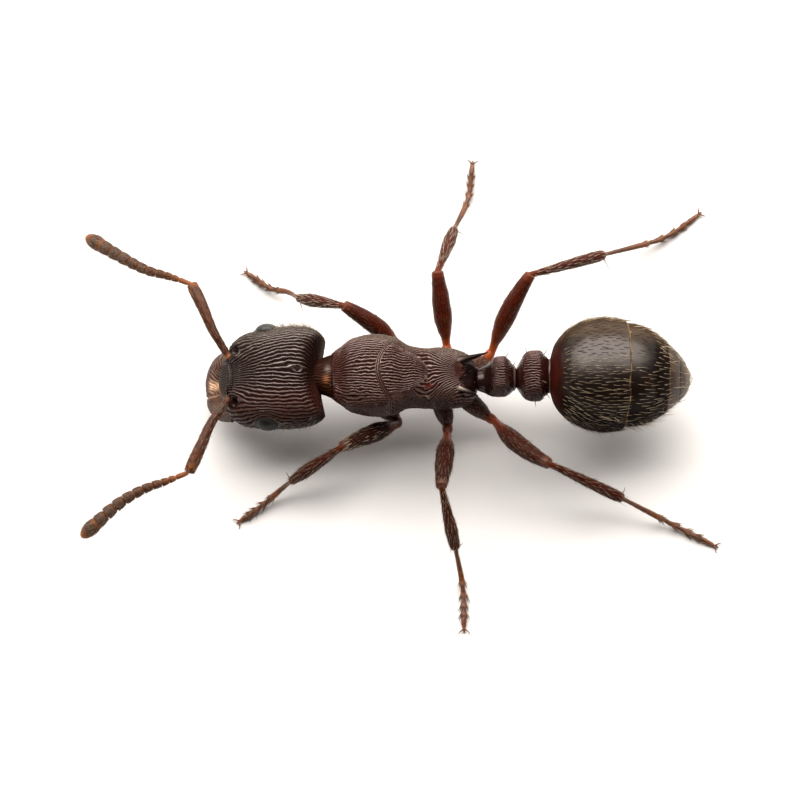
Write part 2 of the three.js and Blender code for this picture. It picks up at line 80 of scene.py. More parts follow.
TRUNK = [
    [-0.82, 0.275, 1.17, 0.78],
    [-0.74, 0.335, 1.22, 0.73],
    [-0.60, 0.455, 1.33, 0.66],
    [-0.40, 0.503, 1.40, 0.58],
    [-0.20, 0.474, 1.40, 0.52],
    [0.05, 0.378, 1.32, 0.48],
    [0.25, 0.362, 1.23, 0.48],
    [0.34, 0.364, 1.19, 0.49],
    [0.46, 0.374, 1.205, 0.50],
    [0.64, 0.362, 1.16, 0.50],
    [0.78, 0.325, 1.06, 0.52],
    [0.88, 0.245, 0.97, 0.58],
    [0.92, 0.16, 0.92, 0.66],
]
UNDERCUT = 0.20
PRONOTUM_END = -0.25
MESONOTUM_END = 0.335
SPINE = {"root": [0.70, 0.14, 1.06], "right": [1.055, 0.27, 1.08], "left": [0.935, -0.262, 1.06]}
NECK = [[-1.06, 0.17, 1.10, 0.84], [-0.92, 0.222, 1.14, 0.80], [-0.80, 0.268, 1.165, 0.785]]
PETIOLE = [
    [0.932, 0.13, 0.93, 0.68],
    [1.02, 0.165, 0.97, 0.66],
    [1.09, 0.212, 1.10, 0.66],
    [1.15, 0.232, 1.22, 0.67],
    [1.24, 0.235, 1.25, 0.68],
    [1.31, 0.20, 1.15, 0.70],
    [1.36, 0.152, 1.04, 0.74],
    [1.39, 0.125, 0.99, 0.77],
]
POSTPETIOLE = [
    [1.402, 0.125, 1.00, 0.78],
    [1.445, 0.20, 1.14, 0.73],
    [1.50, 0.268, 1.25, 0.70],
    [1.58, 0.298, 1.29, 0.69],
    [1.66, 0.300, 1.29, 0.71],
    [1.72, 0.27, 1.24, 0.75],
    [1.785, 0.20, 1.14, 0.84],
]
GASTER = [
    [1.797, 0.20, 1.15, 0.84],
    [1.84, 0.345, 1.33, 0.72],
    [1.93, 0.475, 1.48, 0.61],
    [2.06, 0.58, 1.59, 0.52],
    [2.24, 0.655, 1.66, 0.47],
    [2.50, 0.688, 1.68, 0.44],
    [2.76, 0.662, 1.64, 0.45],
    [3.00, 0.582, 1.52, 0.47],
    [3.20, 0.455, 1.35, 0.51],
    [3.35, 0.305, 1.17, 0.58],
    [3.43, 0.18, 1.05, 0.65],
    [3.468, 0.085, 0.96, 0.72],
]
FIRST_PLATE_END = 2.76
SECOND_PLATE_END = 3.24

COXA = [[0, 0.085], [0.3, 0.115], [0.7, 0.10], [1, 0.062]]
TROCHANTER = [[0, 0.056], [0.5, 0.062], [1, 0.048]]
FEMUR = [[0, 0.046], [0.08, 0.052], [0.22, 0.084], [0.42, 0.112], [0.62, 0.106], [0.82, 0.088], [1, 0.068]]
TIBIA = {
    "fore": [[0, 0.036], [0.10, 0.040], [0.45, 0.066], [0.72, 0.076], [0.92, 0.056], [1, 0.046]],
    "middle": [[0, 0.036], [0.10, 0.038], [0.42, 0.057], [0.70, 0.075], [0.90, 0.066], [1, 0.052]],
    "hind": [[0, 0.036], [0.10, 0.039], [0.42, 0.055], [0.70, 0.066], [0.90, 0.068], [1, 0.058]],
}
TARSUS_SHARES = [0.47, 0.155, 0.125, 0.10, 0.15]
TARSUS = {"waist": 0.023, "flare": 0.039, "first": 0.037}
CLAW = {"reach": 0.06, "spread": 0.07, "drop": 0.018, "root": 0.012, "point": 0.0022}
# The orange share of a leg is the trochanter's and femur base's own orange, set higher on the right legs,
# towards the soft box, as painted light. grey is the leg's down, set higher on the left legs, away from the
# soft box, where it also darkens them as painted shade.
LEGS = {
    "fore_right": {
        "chain": [[-0.42, 0.17, 0.70], [-0.06, 0.40, 0.37], [-0.012, 0.53, 0.42], [-0.667, 0.888, 0.912],
                  [-1.226, 1.129, 0.372]],
        "bow": [0.012, 0.012, 0.03], "orange_and_painted_glow": 0.7, "grey": 0.45, "spur": [-1.172, 0.962, 0.39],
        "toes": [[-1.362, 1.244, 0.22], [-1.571, 1.323, 0.085], [-1.852, 1.528, 0.024]],
    },
    "fore_left": {
        "chain": [[-0.42, -0.17, 0.70], [-0.05, -0.36, 0.36], [-0.02, -0.45, 0.42], [-0.688, -0.850, 0.912],
                  [-1.307, -1.146, 0.372]],
        "bow": [0, 0, 0.03], "orange_and_painted_glow": 0.12, "grey": 0.85, "spur": [-1.37, -1.02, 0.30],
        "toes": [[-1.427, -1.209, 0.22], [-1.645, -1.369, 0.085], [-1.922, -1.558, 0.024]],
    },
    "middle_right": {
        "chain": [[0.46, 0.16, 0.58], [0.57, 0.40, 0.38], [0.561, 0.53, 0.42], [0.451, 1.314, 0.90],
                  [0.652, 1.992, 0.33]],
        "bow": [-0.002, 0, 0.03], "orange_and_painted_glow": 0.8, "grey": 0.35, "spur": [0.775, 1.924, 0.35],
        "toes": [[0.827, 2.449, 0.085], [0.881, 2.895, 0.024]],
    },
    "middle_left": {
        "chain": [[0.47, -0.16, 0.58], [0.575, -0.44, 0.38], [0.572, -0.575, 0.42], [0.494, -1.334, 0.90],
                  [0.666, -1.963, 0.33]],
        "bow": [0, 0, 0.03], "orange_and_painted_glow": 0.15, "grey": 0.8, "spur": [0.756, -1.906, 0.35],
        "toes": [[0.757, -2.412, 0.085], [0.769, -2.879, 0.024]],
    },
    "hind_right": {
        "chain": [[0.74, 0.14, 0.60], [1.03, 0.34, 0.40], [1.11, 0.45, 0.45], [1.562, 1.248, 1.008],
                  [2.456, 1.657, 0.408]],
        "bow": [-0.025, 0.016, 0.03], "orange_and_painted_glow": 0.9, "grey": 0.35, "spur": [2.528, 1.466, 0.42],
        "toes": [[3.170, 1.945, 0.085], [3.398, 2.083, 0.04], [3.625, 2.264, 0.024]],
    },
    "hind_left": {
        "chain": [[0.74, -0.14, 0.60], [1.05, -0.35, 0.40], [1.143, -0.422, 0.45], [1.775, -1.083, 1.008],
                  [2.661, -1.365, 0.408]],
        "bow": [-0.036, -0.036, 0.03], "orange_and_painted_glow": 0.55, "grey": 0.7, "spur": [2.704, -1.232, 0.42],
        "toes": [[3.306, -1.628, 0.085], [3.782, -1.861, 0.024]],
    },
}
ANTENNAE = {
    "right": {
        "scape": [[-2.053, 0.26, 0.87], [-2.252, 0.593, 0.92], [-2.366, 0.860, 0.93], [-2.500, 1.155, 0.89]],
        "lash": [[-2.533, 1.190, 0.87], [-2.794, 1.282, 0.82], [-3.055, 1.377, 0.75], [-3.325, 1.543, 0.65],
                 [-3.795, 1.873, 0.45]],
    },
    "left": {
        "scape": [[-2.053, -0.26, 0.87], [-2.252, -0.545, 0.92], [-2.382, -0.849, 0.93],
                  [-2.520, -1.150, 0.89]],
        "lash": [[-2.549, -1.185, 0.87], [-2.811, -1.262, 0.82], [-3.029, -1.323, 0.76],
                 [-3.343, -1.472, 0.65], [-3.820, -1.855, 0.45]],
    },
}
SCAPE = [[0, 0.046], [0.05, 0.042], [0.2, 0.048], [0.6, 0.064], [0.88, 0.074], [1, 0.065]]
LASH_SHARES = [0.105, 0.058, 0.062, 0.075, 0.080, 0.082, 0.088, 0.092, 0.095, 0.095, 0.168]
CLUB_JOINTS = 4
LASH = {"start": 0.032, "end": 0.087, "waist": 0.74, "growth": 0.8}

# ---- grids and sculpture of the skins ------------------------------------------------

# Rings along each skin, and points around it.
GRID = {
    "head": (216, 440), "eye": (90, 120), "mandible": (150, 120), "neck": (60, 140),
    "pronotum": (130, 400), "mesonotum": (140, 400), "propodeum": (150, 400), "spine": (40, 28),
    "petiole": (140, 260), "postpetiole": (130, 300),
    "gaster_first": (150, 220), "gaster_second": (90, 220), "gaster_tip": (70, 220),
    "coxa": (60, 72), "trochanter": (24, 48), "femur": (96, 72), "tibia": (96, 64), "tarsus": (240, 32),
    "claw": (26, 12), "pad": (14, 16), "spur": (20, 10),
}
# Places on the right side of the head: where its ribs part round the feeler, the feeler's pit, the
# lobe over the pit, and the hinge of the jaw.
FACE = {"socket": [-1.04, 0.315, 0.22], "pit": [-1.055, 0.325, 0.20], "lobe": [-1.035, 0.215, 0.235],
        "hinge": [-1.15, 0.34, 0.02]}
# The small smooth lozenge near the rear of the head, with its dot.
LOZENGE = {"x": -0.185, "length": 0.076, "half": 0.044, "dot": -0.195}
# By station: how far apart the ribs stand on the head and on the first back plate, as a share of
# their widest, and the half width of the shield on the second plate.
HEAD_STRETCH = [[-1.274, 0.34], [-1.1, 0.42], [-1.0, 0.52], [-0.93, 0.60], [-0.8, 0.75], [-0.65, 0.89],
                [-0.45, 0.98], [-0.30, 1.0], [-0.18, 0.95], [-0.08, 0.84], [0, 0.66]]
COLLAR_STRETCH = [[-0.82, 0.54], [-0.74, 0.64], [-0.6, 0.87], [-0.4, 1.0], [0, 1.02]]
SHIELD_HALF = [[-0.32, 0.40], [-0.15, 0.345], [0.03, 0.285], [0.17, 0.205], [0.27, 0.125], [0.335, 0.05]]

# Width of a rib, and height of the relief, on each plate.
RIB = {"head": 0.0515, "pronotum": 0.0410, "mesonotum": 0.0400, "propodeum": 0.0345,
       "petiole": 0.0300, "postpetiole": 0.0325}
RELIEF = {"head": 0.0165, "pronotum": 0.0140, "mesonotum": 0.0140, "propodeum": 0.0135,
          "petiole": 0.0160, "postpetiole": 0.0160}

# The tables count from the collar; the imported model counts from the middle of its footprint.
SHIFT = np.array([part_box("petiole")[0].x / MM - PETIOLE[0][0],
                  (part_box("pronotum")[0].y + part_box("pronotum")[1].y) / 2 / MM, 0.0])


# ---- numbers along tables and curves -------------------------------------------------

def along(rows, x, column=1):
    """A table's column at x: a cubic between rows, with the harmonic mean of the slopes beside
    each row as its slope there, or zero where the column turns back."""
    rows = np.asarray(rows, float)
    xs, ys = rows[:, 0], rows[:, column]
    rise = np.diff(ys) / np.diff(xs)
    slope = np.concatenate([rise[:1], np.zeros(len(xs) - 2), rise[-1:]])
    before, after = rise[:-1], rise[1:]
    same = before * after > 0
    slope[1:-1][same] = 2 * before[same] * after[same] / (before[same] + after[same])
    x = np.clip(x, xs[0], xs[-1])
    i = np.clip(np.searchsorted(xs, x, side="right") - 1, 0, len(xs) - 2)
    span = xs[i + 1] - xs[i]
    t = (x - xs[i]) / span
    return (ys[i] * (1 + 2 * t) * (1 - t) ** 2 + ys[i + 1] * t * t * (3 - 2 * t)
            + span * (slope[i] * t * (1 - t) ** 2 + slope[i + 1] * t * t * (t - 1)))


def ease(low, high, x):
    """0 below low, 1 above high, and 3t^2 - 2t^3 between."""
    t = np.clip((np.asarray(x, float) - low) / (high - low), 0, 1)
    return t * t * (3 - 2 * t)


def bump(x, middle, half):
    """A bell: exp(-((x - middle) / half)^2)."""
    return np.exp(-(((x - middle) / half) ** 2))


def unit(v):
    """Vectors divided by their length."""
    return v / np.maximum(np.linalg.norm(v, axis=-1, keepdims=True), 1e-12)


def ripple(points, size, seed, waves=10):
    """Smooth noise of spread 1: a sum of sine waves in fixed random directions, with lengths near size."""
    rng = np.random.default_rng(seed)
    total = np.zeros(points.shape[:-1])
    for _ in range(waves):
        heading = unit(rng.normal(size=3)) * TURN / (size * rng.uniform(0.7, 1.5))
        total += np.sin(points @ heading + rng.uniform(0, TURN))
    return total / math.sqrt(waves / 2)


class Path:
    """A curve as closely spaced points, read by the distance along it, straight beyond its ends."""

    def __init__(self, points):
        self.points = np.asarray(points, float)
        steps = np.linalg.norm(np.diff(self.points, axis=0), axis=1)
        self.marks = np.concatenate([[0.0], np.cumsum(steps)])
        self.length = self.marks[-1]

    @classmethod
    def through(cls, points):
        """A centripetal Catmull-Rom curve through the points."""
        p = np.asarray(points, float)
        p = np.vstack([2 * p[0] - p[1], p, 2 * p[-1] - p[-2]])
        gap = np.sqrt(np.linalg.norm(np.diff(p, axis=0), axis=1))[:, None]
        d0, d1, d2 = gap[:-2], gap[1:-1], gap[2:]
        a, b, c, d = p[:-3], p[1:-2], p[2:-1], p[3:]
        leave = ((b - a) / d0 - (c - a) / (d0 + d1) + (c - b) / d1) * d1
        arrive = ((c - b) / d1 - (d - b) / (d1 + d2) + (d - c) / d2) * d1
        t = np.linspace(0, 1, 60, endpoint=False)[None, :, None]
        b, c, leave, arrive = b[:, None], c[:, None], leave[:, None], arrive[:, None]
        curve = (b + leave * t + (3 * (c - b) - 2 * leave - arrive) * t ** 2
                 + (2 * (b - c) + leave + arrive) * t ** 3)
        return cls(np.vstack([curve.reshape(-1, 3), p[-2]]))

    @classmethod
    def bent(cls, start, end, bow):
        """A parabola from start to end that passes its middle at a distance bow from the chord."""
        t = np.linspace(0, 1, 80)[:, None]
        start, end, bow = (np.asarray(v, float) for v in (start, end, bow))
        return cls(start + (end - start) * t + 4 * bow * t * (1 - t))

    def at(self, distance):
        """Points at the distances, and headings there: the chord over a hundredth of the length."""
        def point(mark):
            return np.stack([np.interp(mark, self.marks, self.points[:, k]) for k in range(3)], -1)

        inner = np.clip(distance, 0, self.length)
        step = self.length / 200
        before, after = (point(np.clip(inner + s, 0, self.length)) for s in (-step, step))
        heading = unit(after - before)
        return point(inner) + heading * (distance - inner)[..., None], heading


# ---- skins ---------------------------------------------------------------------------

class Skin:
    """A closed tube of rings, in millimetres: rings[i, j] runs along the part with i and around it
    with j. marks holds four shares from 0 to 1 for each point: relief, warmth, paleness and depth in
    a groove."""

    def __init__(self, rings):
        self.rings = rings
        self.marks = np.zeros(rings.shape[:2] + (4,))

    def frames(self):
        """Normals by the cross product of the two directions of the grid, turned outwards, and
        the headings along the part."""
        r = self.rings
        ahead = np.gradient(r, axis=0)
        around = np.roll(r, -1, axis=1) - np.roll(r, 1, axis=1)
        normal = np.cross(around, ahead)
        size = np.linalg.norm(normal, axis=-1, keepdims=True)
        outward = r - r.mean(axis=1, keepdims=True)
        if (normal * outward).sum() < 0:
            normal = -normal
        normal = np.where(size > 1e-12, normal, outward)
        return unit(normal), unit(ahead)

    def over(self, values):
        """One number for each ring, spread over all its points."""
        return values[:, None] + 0 * self.rings[..., 0]

    def raise_by(self, height):
        """Moves every point out along its normal by its height."""
        normal, _ = self.frames()
        self.rings = self.rings + normal * height[..., None]
        return self

    def mark(self, relief=None, warm=None, pale=None, deep=None):
        """Sets the shares that are given, cut off at 0 and 1."""
        for channel, value in enumerate((relief, warm, pale, deep)):
            if value is not None:
                self.marks[..., channel] = np.clip(value, 0, 1)
        return self

    def capped(self, front, back):
        """Adds rings that shrink to the middle of each end ring by the cosine of an angle, while
        they move out by front or back times its sine."""
        angle = QUARTER_TURN[:, None, None]

        def cap(ring, marks, heading, reach):
            middle = ring.mean(axis=0)
            shrink = np.maximum(np.cos(angle), 0.02)
            rings = middle + (ring - middle) * shrink + heading * reach * np.sin(angle)
            return rings, np.repeat(marks[None], len(angle), axis=0)

        middles = self.rings.mean(axis=1)
        first, first_marks = cap(self.rings[0], self.marks[0], unit(middles[0] - middles[1]), front)
        last, last_marks = cap(self.rings[-1], self.marks[-1], unit(middles[-1] - middles[-2]), back)
        self.rings = np.concatenate([first[::-1], self.rings, last])
        self.marks = np.concatenate([first_marks[::-1], self.marks, last_marks])
        return self

    def spots(self, row, u, v, keep=None):
        """Places for hairs: on each row, at the share v of the way round it. keep gets all that is
        known of the places and says which stay."""
        normal, ahead = self.frames()
        r = self.rings
        arc = np.concatenate([np.zeros((len(r), 1)), np.cumsum(self.around(), axis=1)], axis=1)
        wanted = v * arc[row, -1]
        column = np.clip((arc[row] <= wanted[:, None]).sum(axis=1) - 1, 0, r.shape[1] - 1)
        found = {"place": r[row, column], "normal": normal[row, column], "ahead": ahead[row, column],
                 "u": u, "v": v, "marks": self.marks[row, column]}
        return found if keep is None else chosen(found, keep(found))

    def around(self):
        """Distance from each point to the next one round its ring."""
        return np.linalg.norm(np.roll(self.rings, -1, axis=1) - self.rings, axis=-1)

    def roots(self, count, seed, keep=None):
        """Places for hairs, spread evenly: the k-th lies at the fractions of k times two golden
        numbers, of the area along the part and of the arc around it."""
        girth = np.cumsum(self.around(), axis=1)[:, -1]
        step = np.linalg.norm(np.diff(self.rings, axis=0), axis=-1).mean(axis=1)
        area = np.concatenate([[0.0], np.cumsum(step * (girth[1:] + girth[:-1]) / 2)])
        k = np.arange(count) + seed * 0.37
        u, v = ((0.5 + k * golden) % 1 for golden in GOLDEN_PAIR)
        row = np.rint(np.interp(u * area[-1], area, np.arange(len(area)))).astype(int)
        return self.spots(np.clip(row, 0, len(area) - 1), u, v, keep)

    def rows(self, nu, nv, seed, keep=None):
        """Places for hairs in staggered rows: nu along and nv around, with a little jitter."""
        rng = np.random.default_rng(seed)
        i, j = np.meshgrid(np.arange(nu), np.arange(nv), indexing="ij")
        u = ((i + 0.5 * (j % 2) + rng.uniform(0, 0.45, i.shape)) / nu).ravel()
        v = ((j + rng.uniform(-0.2, 0.2, j.shape)) / nv % 1).ravel()
        last = len(self.rings) - 1
        return self.spots(np.clip((u * last).round().astype(int), 0, last), u % 1, v, keep)

    def whorl(self, row, count, turn):
        """Places for count hairs round one row."""
        normal, ahead = self.frames()
        n, m = self.rings.shape[:2]
        column = (np.round(np.arange(count) * m / count + turn).astype(int)) % m
        return {"place": self.rings[row, column], "normal": normal[row, column],
                "ahead": ahead[row, column], "u": np.full(count, row / n), "v": column / m}


def chosen(found, stay):
    """The places that stay."""
    return {key: value[stay] for key, value in found.items()}


def plate(rows, stations, around, square=2.2, undercut=0.0, dense=0.3):
    """Rings of a body plate: at each station a rounded box of the table's half width, top and
    bottom. A point at roll angle a is at (cos a, sin a) over (|cos a|^n + |sin a|^n)^(1/n), with n =
    square. dense packs the columns towards the back. Returns the skin, and the arc from the
    midline of the back."""
    t = np.linspace(-1, 1, around, endpoint=False) + 1 / around
    roll = math.pi / 2 - (math.pi * t - dense * np.sin(math.pi * t))
    reach = (np.abs(np.cos(roll)) ** square + np.abs(np.sin(roll)) ** square) ** (-1 / square)
    across, up = np.cos(roll) * reach, np.sin(roll) * reach
    x = np.asarray(stations, float)[:, None]
    width, top, bottom = (along(rows, x, column) for column in (1, 2, 3))
    y = width * across * (1 - undercut * np.maximum(0, -up))
    z = (top + bottom) / 2 + (top - bottom) / 2 * up
    rings = np.stack([x + 0 * y, y, z], -1)
    return Skin(rings), arc_from_back(rings)


def arc_from_back(rings):
    """Signed distance around each ring from its highest point, positive on the right side."""
    step = np.linalg.norm(np.diff(rings, axis=1), axis=-1)
    arc = np.concatenate([np.zeros((len(rings), 1)), np.cumsum(step, axis=1)], axis=1)
    middle = rings.shape[1] // 2
    return arc - (arc[:, middle - 1:middle] + arc[:, middle:middle + 1]) / 2


def limb(path, distance, radius, around, flat=1.0, floor=None):
    """Rings of a limb: a circle of the radius carried along the path, squeezed upwards by flat and
    kept above floor."""
    centre, ahead = path.at(distance)
    side = unit(np.cross(UP, ahead))
    up = np.cross(ahead, side)
    angle = np.linspace(0, TURN, around, endpoint=False)[None, :, None]
    size = np.asarray(radius)[:, None, None]
    rings = centre[:, None] + size * (side[:, None] * np.cos(angle) + up[:, None] * np.sin(angle) * flat)
    if floor is not None:
        rings[..., 2] = np.maximum(rings[..., 2], floor)
    return Skin(rings)


def furrows(phase, sharp=0.95):
    """Rounded ribs between grooves: 1 - ((1 - cos(turns of phase)) / 2)^sharp."""
    return 1 - (0.5 - 0.5 * np.cos(TURN * phase)) ** sharp


def ribbing(part, strength, rib):
    """Height of the surface: the part's relief times strength times (rib - 0.6)."""
    return RELIEF[part] * strength * (rib - 0.6)


def in_groove(rib, strength):
    """How deep a point lies in a groove: 2.7 (1 - rib) strength, at most 1."""
    return np.clip(2.7 * (1 - rib) * strength, 0, 1)


def pebbles(points, size, seed):
    """Small rounded cells from 0 to 1: half of 1 + tanh(1.5 ripple)."""
    return 0.5 + 0.5 * np.tanh(1.5 * ripple(points, size, seed, 14))


def waver(points, *terms):
    """A sum of ripples, each given as its amount, size and seed."""
    return sum(amount * ripple(points, size, seed) for amount, size, seed in terms)


def uneven(points, size, seed, amount=0.10):
    """A strength a little below 1: 1 - amount + amount ripple."""
    return 1 - amount + amount * ripple(points, size, seed)


def spot(x, arc, middle, radius):
    """A round spot: exp(-(distance from its middle)^2 / radius^2)."""
    return np.exp(-((x - middle[0]) ** 2 + (arc - middle[1]) ** 2) / radius ** 2)


def apart(points, middle, radii=1.0):
    """Distance of points from a middle point, counted in radii."""
    return np.sqrt((((points - np.array(middle)) / radii) ** 2).sum(axis=-1))


def part_around(x, arc, obstacles):
    """Ribs part round each obstacle as water does round a post: the arc from it is multiplied by
    1 - R^2 / r^2, and is zero inside. Lengths along x count for less by the share long."""
    for x0, arc0, radius, long in obstacles:
        near = ((x - x0) / long) ** 2 + (arc - arc0) ** 2
        arc = arc0 + (arc - arc0) * np.maximum(0, 1 - radius ** 2 / np.maximum(near, 1e-9))
    return arc


# ---- meshes --------------------------------------------------------------------------

def mesh_object(name, points, faces, material, nodes=(), marks=None, patch=None):
    """A piece from points in millimetres and arrays of equal-sided faces. It rides on the body, stands
    for its nodes and takes the material given. marks are shares for each point, and patch is
    each point's place on the map OFBake."""
    counts = np.concatenate([np.full(len(f), f.shape[1]) for f in faces])
    starts = np.concatenate([[0], np.cumsum(counts)[:-1]]).astype(np.int32)
    corners = np.concatenate([f.ravel() for f in faces]).astype(np.int32)
    mesh = bpy.data.meshes.new(name)
    mesh.vertices.add(len(points))
    mesh.vertices.foreach_set("co", ((points + SHIFT) * MM).astype(np.float32).ravel())
    mesh.loops.add(len(corners))
    mesh.loops.foreach_set("vertex_index", corners)
    mesh.polygons.add(len(counts))
    mesh.polygons.foreach_set("loop_start", starts)
    mesh.polygons.foreach_set("use_smooth", np.ones(len(counts), bool))
    mesh.update(calc_edges=True)
    if marks is not None:
        shares = mesh.attributes.new("marks", "FLOAT_COLOR", "POINT")
        shares.data.foreach_set("color", marks.astype(np.float32).ravel())
    if patch is not None:
        layer = mesh.uv_layers.new(name="OFBake")
        layer.data.foreach_set("uv", patch[corners].astype(np.float32).ravel())
    mesh.materials.append(material)
    piece = bpy.data.objects.new(name, mesh)
    bpy.context.scene.collection.objects.link(piece)
    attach(piece, "root")
    if nodes:
        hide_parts(*nodes)
    return piece


def skin_faces(skin):
    """Points, faces and shares of a skin: quads between neighbouring rings, and a fan of triangles
    to a middle point at each end, turned to face outwards by the sign of the volume."""
    rings, marks = skin.rings, skin.marks
    n, m = rings.shape[:2]
    index = np.arange(n * m).reshape(n, m)
    beside = np.roll(index, -1, axis=1)
    quads = np.stack([index[:-1], beside[:-1], beside[1:], index[1:]], -1).reshape(-1, 4)
    fans = np.concatenate([
        np.stack([np.full(m, n * m), beside[0], index[0]], -1),
        np.stack([np.full(m, n * m + 1), index[-1], beside[-1]], -1),
    ])
    points = np.concatenate([rings.reshape(-1, 3), [rings[0].mean(axis=0), rings[-1].mean(axis=0)]])
    shares = np.concatenate([marks.reshape(-1, 4), [marks[0].mean(axis=0), marks[-1].mean(axis=0)]])
    a, b, c, d = (points[quads[:, k]] for k in range(4))
    out = a - points.mean(axis=0)
    volume = (np.cross(b - a, c - a) * out).sum() + (np.cross(c - a, d - a) * out).sum()
    if volume < 0:
        quads, fans = quads[:, ::-1], fans[:, ::-1]
    return points, quads, fans, shares


def skin_object(name, skins, material, nodes=()):
    """One piece from one or more skins, which stands for the nodes."""
    points, quads, fans, shares = zip(*map(skin_faces, skins))
    base = np.cumsum([0] + [len(p) for p in points[:-1]])
    faces = [np.concatenate([f + first for f, first in zip(group, base)]) for group in (quads, fans)]
    return mesh_object(name, np.concatenate(points), faces, material, nodes,
                       marks=np.concatenate(shares))


def node_skin(node, skin, material):
    """The piece that stands for one node, and carries its name."""
    return skin_object(f"{node}_skin", [skin], material, [node])


HAIR_PATCH = 0.003
HAIR_RINGS = 3
FLOOR_GAP = 0.001


def hairs(name, groups, material):
    """Thin three-sided hairs. Each follows root + length (t heading - curl t^2 normal), tapers as
    (1 - t)^0.8 to its point, and stops at the floor. groups are dictionaries from strands()."""
    groups = [g for g in groups if len(g["place"])]
    place, heading, normal, length, width, curl, home = (
        np.concatenate([g[key] for g in groups]) for key in
        ("place", "heading", "normal", "length", "width", "curl", "home"))
    t = np.arange(HAIR_RINGS) / HAIR_RINGS
    side = unit(np.cross(heading, normal))
    over = unit(np.cross(side, heading))
    line = (place[:, None] + length[:, None, None] * (
        t[None, :, None] * heading[:, None] - (curl[:, None] * t ** 2)[..., None] * normal[:, None]))
    angle = np.arange(3) * TURN / 3
    thick = (width[:, None] / 2 * (1 - t) ** 0.8)[..., None, None]
    spread = side[:, None] * np.cos(angle)[None, :, None] + over[:, None] * np.sin(angle)[None, :, None]
    rings = line[:, :, None] + thick * spread[:, None]
    tips = place + length[:, None] * (heading - curl[:, None] * normal)
    count, each = len(place), HAIR_RINGS * 3 + 1
    points = np.concatenate([rings.reshape(count, -1, 3), tips[:, None]], axis=1)
    ring = np.arange(HAIR_RINGS * 3).reshape(-1, 3)
    beside = np.roll(ring, -1, axis=1)
    quads = np.stack([ring[:-1], beside[:-1], beside[1:], ring[1:]], -1).reshape(-1, 4)
    caps = np.concatenate([
        np.stack([ring[-1], beside[-1], np.full(3, each - 1)], -1), ring[0][::-1][None]])
    offset = (np.arange(count) * each)[:, None, None]
    quads = (quads[None] + offset).reshape(-1, 4)
    caps = (caps[None] + offset).reshape(-1, 3)
    across = np.concatenate([np.tile([0.0, 0.5, 1.0], HAIR_RINGS), [0.5]])
    upward = np.concatenate([np.repeat(t, 3), [1.0]])
    patch = home[:, None] * (1 - HAIR_PATCH) + HAIR_PATCH * np.stack([across, upward], -1)[None]
    flat = points.reshape(-1, 3)
    flat[:, 2] = np.maximum(flat[:, 2], FLOOR_GAP)
    return mesh_object(name, flat, [quads, caps], material, patch=patch.reshape(-1, 2))


def strands(roots, rng, length, width, lean, spread=0.2, curl=0.25, tile=(0, 1), ahead=None,
            back=False, sunk=0.004):
    """Hairs on roots: each leans from the heading of the lie towards the normal by lean, in radians,
    and turns aside by a random share of spread. tile places the skin's unwrap in one column of
    the shared map."""
    count = len(roots["place"])
    normal = roots["normal"]
    flow = roots["ahead"] if ahead is None else np.asarray(ahead, float)
    flow = flow * (-1 if back else 1)
    flow = unit(flow - normal * (flow * normal).sum(axis=-1, keepdims=True))
    side = np.cross(normal, flow)
    turn = rng.normal(size=(count, 1)) * spread
    tilt = lean * (1 + rng.normal(size=(count, 1)) * 0.25)
    heading = unit((flow * np.cos(turn) + side * np.sin(turn)) * np.cos(tilt) + normal * np.sin(tilt))
    column, columns = tile
    return {
        "place": roots["place"] - normal * sunk,
        "heading": heading,
        "normal": normal,
        "length": length * rng.uniform(0.7, 1.25, count),
        "width": width * rng.uniform(0.8, 1.2, count),
        "curl": curl * rng.uniform(0.4, 1.6, count),
        "home": np.stack([(column + roots["u"]) / columns, roots["v"]], -1),
    }


# ---- shader nodes --------------------------------------------------------------------

class Value:
    """A number socket that can be added, subtracted and multiplied in an expression, from either
    side."""

    def __init__(self, net, socket):
        self.net = net
        self.socket = socket

    def _math(self, operation, a, b):
        node = self.net.node("ShaderNodeMath", {"operation": operation}, {0: a, 1: b})
        return Value(self.net, node.outputs[0])

    def __add__(self, other):
        return self._math("ADD", self, other)

    __radd__ = __add__

    def __sub__(self, other):
        return self._math("SUBTRACT", self, other)

    def __rsub__(self, other):
        return self._math("SUBTRACT", other, self)

    def __mul__(self, other):
        return self._math("MULTIPLY", self, other)

    __rmul__ = __mul__

    def clamped(self):
        """The value, cut off at 0 and 1."""
        node = self.net.node("ShaderNodeClamp", {}, {"Value": self})
        return Value(self.net, node.outputs[0])


